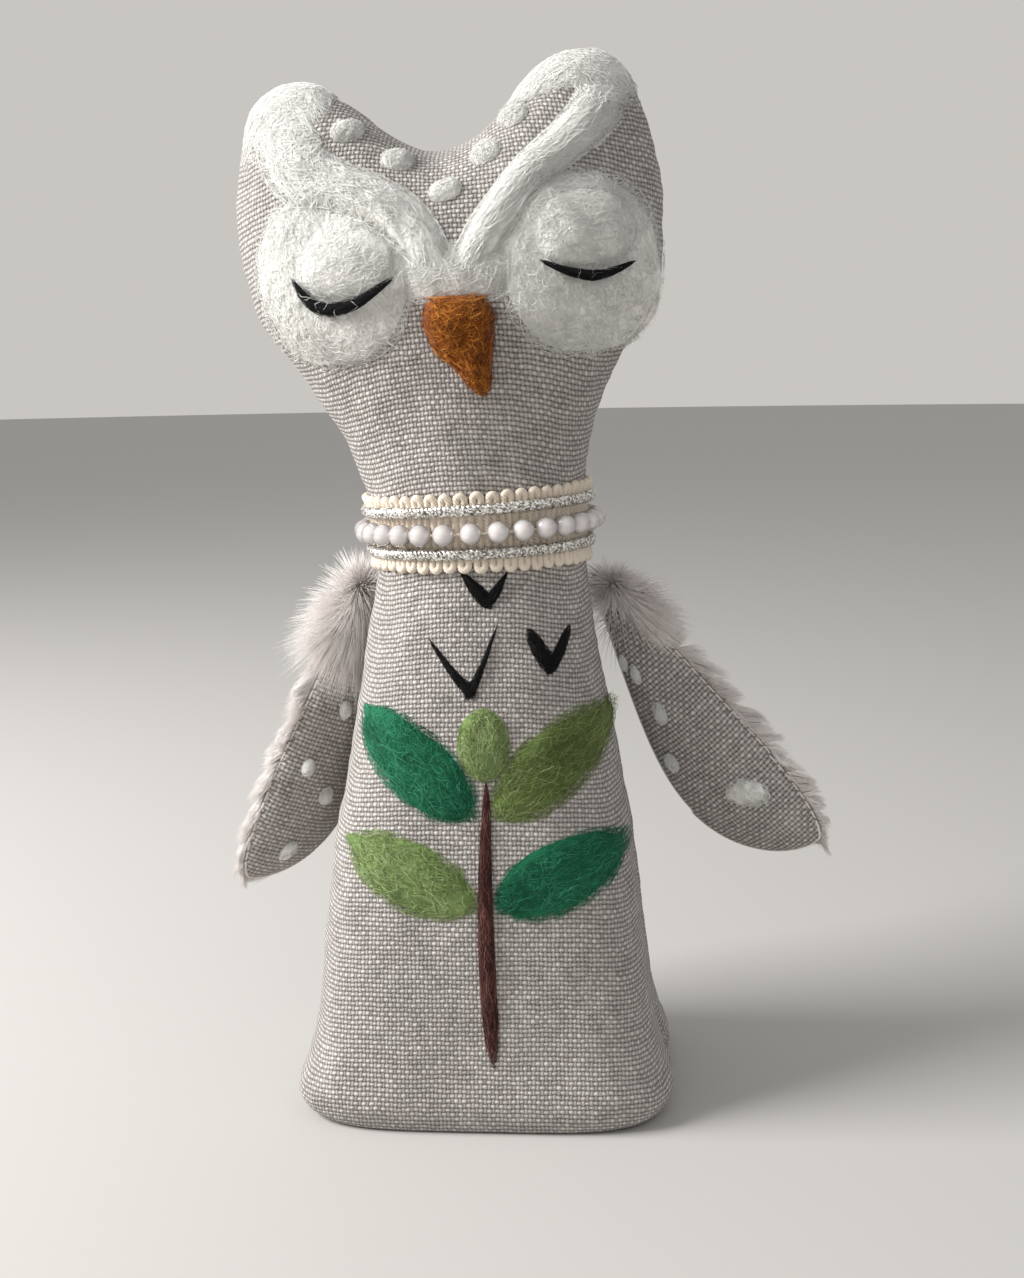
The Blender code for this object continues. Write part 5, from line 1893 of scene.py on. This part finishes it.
    def edge_hairs(self, seed: int, strand: Strand) -> Array:
        """Grow the fringe that stands out past the outer seam in tufts."""
        draw = np.random.default_rng(seed)
        count, lean = self.fringe_count, self.fringe_lean
        share = 1.0 - draw.uniform(0.02, 1.0, count)
        turn = draw.uniform(-0.10, 0.55, count)
        root, down, around, normal = self.roots(share, turn)
        gusts = Ripples(6.0 * MM, seed + 1).at(root)[:, None]
        curl = Ripples(5.0 * MM, seed + 2).at(root)[:, None]
        loose = draw.normal(0.0, 0.10, (count, 3))
        heading = unit(down * (1.0 - lean + 0.75 * gusts) + normal * lean + around * 0.3 * curl + loose)
        shorter = 0.55 + 0.45 * (1.0 - share[:, None]) + 0.35 * gusts
        droop = (down * (0.25 + 0.35 * curl) - normal * 0.1) * shorter
        return self.grow(root - normal * self.root_depth, heading * shorter, droop, strand, draw,
                         clump_size=80, clump_share=0.62)

    def puff(self, seed: int, strand: Strand) -> Array:
        """Grow the puff that stands out all round the wing's top."""
        draw = np.random.default_rng(seed)
        count = self.puff_count
        share = self.puff_reach * draw.uniform(0.0, 1.0, count)
        anywhere = draw.uniform(-math.pi, math.pi, count)
        turn = np.where(share < 0.025, anywhere, draw.uniform(*self.puff_turns, count))
        root, down, around, normal = self.roots(np.maximum(share, 0.004), turn)
        out = unit(root - np.array([0.0, 0.0, -self.length * 0.07]))
        lower = share[:, None] / self.puff_reach
        upward = np.array([0.0, 0.0, 1.0]) * (0.95 - 1.1 * lower)
        combed = 1.2 + 0.4 * self.puff_comb - 0.4 * lower
        sweep = np.array([self.side.value * 0.45, -0.45, -0.10]) * combed
        gusts = Ripples(5.0 * MM, seed + 1).at(root)[:, None] * around
        loose = draw.normal(0.0, 0.42, (count, 3))
        front = np.clip(-normal[:, 1:2], 0.0, 1.0)
        stand = normal * (0.60 - 0.30 * self.puff_comb + 0.25 * lower - 0.20 * front)
        rise = upward * (1.0 - 0.9 * front) + down * 0.6 * front
        heading = unit(out * 0.25 + stand + rise + sweep + 0.35 * gusts + loose)
        return self.grow(root - normal * 0.2 * MM, heading, down * (0.25 + 0.15 * lower), strand, draw,
                         clump_size=90, clump_share=0.22)

    def fur(self, wardrobe: Wardrobe) -> None:
        """Grow the fur: the lying pile, the fringe along the outer seam and the puff at the top."""
        label, seed = self.side.label, 700 + 30 * int(self.side.value)
        backing = self.skin(f"{label}_wing_backing", furred=True)
        wardrobe.dress(backing, "fur", self.body, [f"{label}_wing_fur"])
        puff_strand = Strand(self.puff_length, 0.085 * MM, both_ends_fine=False)
        layers = (
            ("pile", self.pile, self.fur_strand, seed, seed + 3),
            ("guard_hair", self.edge_hairs, self.guard_strand, seed + 5, seed + 6),
            ("puff", self.puff, puff_strand, seed + 8, seed + 9),
        )
        for name, growth, strand, first, second in layers:
            bundle = Bundle()
            bundle.add_strands(growth(first, strand), strand, second)
            wardrobe.dress(bundle.finish(f"{label}_wing_{name}"), "fur", self.body)

    def dot(self, share: float, turn: float, long: float, wide: float, slant: float, seed: int) -> Pad:
        """Make one white dot's pad on the linen face.

        Args:
            share: Where it lies down the wing.
            turn: Where it lies round the wing.
            long: Half its length.
            wide: Half its width.
            slant: How far its length turns from the wing's, in radians.
            seed: Starts its unevenness.

        Returns:
            The pad.
        """
        def place(q: Array, w: Array, lift: Array) -> Array:
            """Carry the dot's coordinates to the wing."""
            along = q * long * math.cos(slant) - w * wide * math.sin(slant)
            across = q * long * math.sin(slant) + w * wide * math.cos(slant)
            down = share + along / self.length
            swung = turn + across / self.half_width
            step = self.step
            run = self.local(down + step, swung) - self.local(down - step, swung)
            ring = self.local(down, swung + step) - self.local(down, swung - step)
            normal = unit(np.cross(run, ring))
            normal *= -np.sign(normal[..., 1:2])
            raised = normal * (np.asarray(lift)[..., None] + self.dot_rise)
            return self.world(self.local(down, swung) + raised)

        return Pad(place, long, wide, self.dot_crown, seed, dome=1.1, ragged=0.26, around=28, along=20)

    def stitches(self) -> bpy.types.Object:
        """Make the small stitches that close the wing's edge, and the seam's thread."""
        paths = []
        count = int(self.length * 0.92 / self.stitch_pitch)
        for index in range(count):
            share = 0.05 + 0.92 * index / count
            shares = np.array([share, share + 0.006, share + 0.012, share + 0.018])
            local = self.local(shares, np.array([-0.34, -0.24, -0.12, 0.02]))
            local[:, 1] -= np.array([0.0, 0.22, 0.22, 0.0]) * MM
            paths.append(self.world(local))
        shares = np.linspace(0.05, 0.985, 120)
        paths.append(self.world(self.local(shares, np.full_like(shares, -0.03))))
        return tubes(f"{self.side.label}_wing_stitches", paths, self.stitch_thread)

    def filling(self) -> bpy.types.Object:
        """Make what fills the wing."""
        work = bmesh.new()
        bmesh.ops.create_uvsphere(work, u_segments=40, v_segments=48, radius=1.0)
        flat = corners(work)
        share = 0.10 + 0.86 * (1.0 - flat[:, 2]) / 2.0
        ring = np.maximum(1.0 - flat[:, 2] ** 2, 0.0) ** 0.25
        middle = self.middle(share)
        edge = self.local(share, np.arctan2(flat[:, 1], flat[:, 0]), self.filling_trim)
        points = middle + (edge - middle) * ring[:, None]
        shrink = 1.0 - 0.06 * np.abs(Ripples(5.0 * MM, 81).at(points))
        move_corners(work, self.world(middle + (points - middle) * shrink[:, None]))
        close_outwards(work)
        return piece_of(f"{self.side.label}_wing_filling", work)

    def shank(self) -> bpy.types.Object:
        """Make the turns of thread between the skin and the wing."""
        run = np.linspace(0.0, 1.0, 90)
        phase = run * 2.0 * math.pi * self.shank_turns
        rounding = np.sqrt(np.clip(1.0 - (2.0 * run - 1.0) ** 6, 0.05, 1.0))
        radius = (self.shank_radius - self.shank_thread) * rounding
        start, end = self.joint_place("swing"), self.joint_place("lift")
        out = unit(end - start)
        path = start[None, :] + (end - start)[None, :] * run[:, None]
        side, up = np.array([-out[1], out[0], 0.0]), np.array([0.0, 0.0, 1.0])
        path = path + radius[:, None] * (np.cos(phase)[:, None] * side + np.sin(phase)[:, None] * up)
        return tubes(f"{self.side.label}_wing_shank_thread", [path], self.shank_thread)

    def build(self, wardrobe: Wardrobe) -> None:
        """Make and dress the wing."""
        label = self.side.label
        linen = self.skin(f"{label}_wing_face", furred=False)
        wardrobe.dress(linen, "linen", self.body, [f"{label}_wing_linen"])
        self.fur(wardrobe)
        bundle = Bundle()
        for index, (share, turn, long, wide, slant) in enumerate(self.dots):
            pad = self.dot(share, turn, long * MM, wide * MM, slant, 800 + index)
            bundle.add_felt(pad, DOT_FUZZ, 820 + index, 840 + index)
        wardrobe.dress(bundle.finish(f"{label}_wing_dots"), "white_wool", self.body)
        wardrobe.dress(self.stitches(), "thread", self.body)
        filling = self.filling()
        wardrobe.dress(filling, "stuffing", self.body, [f"{label}_wing_stuffing"])
        wardrobe.dress(self.shank(), "thread", Body[f"{self.side.name}_SHANK"], [f"{label}_wing_shank"])


# Studio
@dataclass
class Studio:
    """A pale floor, soft light from the left and the photograph's view."""

    eye: tuple = (0.02916, -0.32375, 0.1625)
    pitch: float = math.radians(10.3)
    azimuth: float = math.radians(4.0)
    roll: float = math.radians(0.9)
    focal_pixels: float = 1479.0
    long_side_pixels: float = 1278.0
    backdrop: str = "C9C6C1"
    ground: str = "BDBAB6"
    sky_strength: float = 0.53
    target: tuple = (0.0, 0.0, 0.12)

    def camera(self) -> None:
        """Place the camera."""
        data = bpy.data.cameras.new("view")
        data.sensor_width = 36.0
        data.lens = data.sensor_width * self.focal_pixels / self.long_side_pixels
        data.clip_start = 0.01
        back = Vector((math.sin(self.azimuth), -math.cos(self.azimuth), 0.0))
        right = Vector((math.cos(self.azimuth), math.sin(self.azimuth), 0.0))
        forward = -back * math.cos(self.pitch) - Vector((0.0, 0.0, math.sin(self.pitch)))
        up = right.cross(forward)
        side = right * math.cos(self.roll) - up * math.sin(self.roll)
        top = up * math.cos(self.roll) + right * math.sin(self.roll)
        matrix = Matrix((side, top, -forward)).transposed().to_4x4()
        matrix.translation = Vector(self.eye)
        camera = bpy.data.objects.new("view", data)
        camera.matrix_world = matrix
        bpy.context.scene.collection.objects.link(camera)
        bpy.context.scene.camera = camera

    def floor(self) -> None:
        """Lay the pale floor."""
        work = bmesh.new()
        bmesh.ops.create_circle(work, cap_ends=True, segments=96, radius=6.0)
        floor = piece_of("floor", work)
        material, desk, shader = open_material("pale_floor")
        desk.feed(shader, {"Base Color": linear(self.ground), "Roughness": 0.9})
        floor.data.materials.append(material)

    def lamp(self, name: str, place: tuple, size: float, power: float) -> None:
        """Hang a soft square lamp that looks at the owl's middle."""
        data = bpy.data.lights.new(name, "AREA")
        data.size = size
        data.energy = power
        lamp = bpy.data.objects.new(name, data)
        lamp.location = place
        aim = Vector(self.target) - Vector(place)
        lamp.rotation_euler = aim.to_track_quat("-Z", "Y").to_euler()
        bpy.context.scene.collection.objects.link(lamp)

    def sky(self) -> None:
        """Light the owl evenly, and show the backdrop's colour to the camera."""
        world = bpy.data.worlds.new("studio")
        world.use_nodes = True
        bpy.context.scene.world = world
        desk = Desk(world.node_tree)
        light = world.node_tree.nodes["Background"]
        desk.feed(light, {"Color": (1.0, 1.0, 1.0, 1.0), "Strength": self.sky_strength})
        seen = desk.node("Background", {"Color": linear(self.backdrop), "Strength": 1.0})
        rays = desk.node("LightPath").outputs
        shown = desk.maths("MAXIMUM", rays["Is Camera Ray"], rays["Is Glossy Ray"])
        mix = desk.node("MixShader", {"Fac": shown, 1: light.outputs[0], 2: seen.outputs[0]})
        desk.feed(world.node_tree.nodes["World Output"], {"Surface": mix.outputs[0]})

    def build(self) -> None:
        """Set up the view, the floor and the light."""
        self.camera()
        self.floor()
        self.sky()
        self.lamp("key", (-0.72, -0.20, 0.60), 0.4, 13.5)
        self.lamp("fill", (0.55, -0.55, 0.25), 0.6, 0.3)
        bpy.context.scene.view_settings.view_transform = "Standard"


def main() -> None:
    """Build the owl's looks in order."""
    form = OwlForm()
    wardrobe = Wardrobe()
    Studio().build()
    LinenBody(form).build(wardrobe)
    Collar(form).build(wardrobe)
    Face(form).build(wardrobe)
    FeltWork(form).build(wardrobe)
    left_dots = ((0.37, -1.50, 1.9, 1.6, 0.0), (0.577, -1.01, 1.7, 1.5, 0.0),
                 (0.655, -1.65, 1.8, 1.6, 0.0), (0.866, -1.47, 2.2, 1.7, 0.0))
    right_dots = ((0.205, -2.30, 1.6, 1.4, 0.0), (0.250, -2.00, 1.8, 1.5, 0.0),
                  (0.385, -1.87, 2.1, 1.8, 0.0), (0.528, -2.24, 1.9, 1.6, 0.0),
                  (0.737, -1.30, 4.4, 2.8, 0.86))
    Wing(Side.LEFT, math.radians(26.0), math.radians(42.0), left_dots, puff_count=6800,
         puff_length=11.5 * MM, puff_reach=0.18, puff_comb=0.15, puff_turns=(-math.pi, math.pi),
         fringe_lean=0.45, pile_end=math.pi - 0.02).build(wardrobe)
    Wing(Side.RIGHT, math.radians(42.0), math.radians(14.0), right_dots, puff_count=4800,
         puff_length=9.5 * MM, puff_reach=0.14, puff_comb=1.0, puff_turns=(-0.9, 2.2),
         fringe_lean=0.75, pile_end=2.5).build(wardrobe)


if __name__ == "__main__":
    logging.basicConfig(level=logging.INFO, format="%(name)s: %(message)s")
    main()
    bpy.context.view_layer.update()
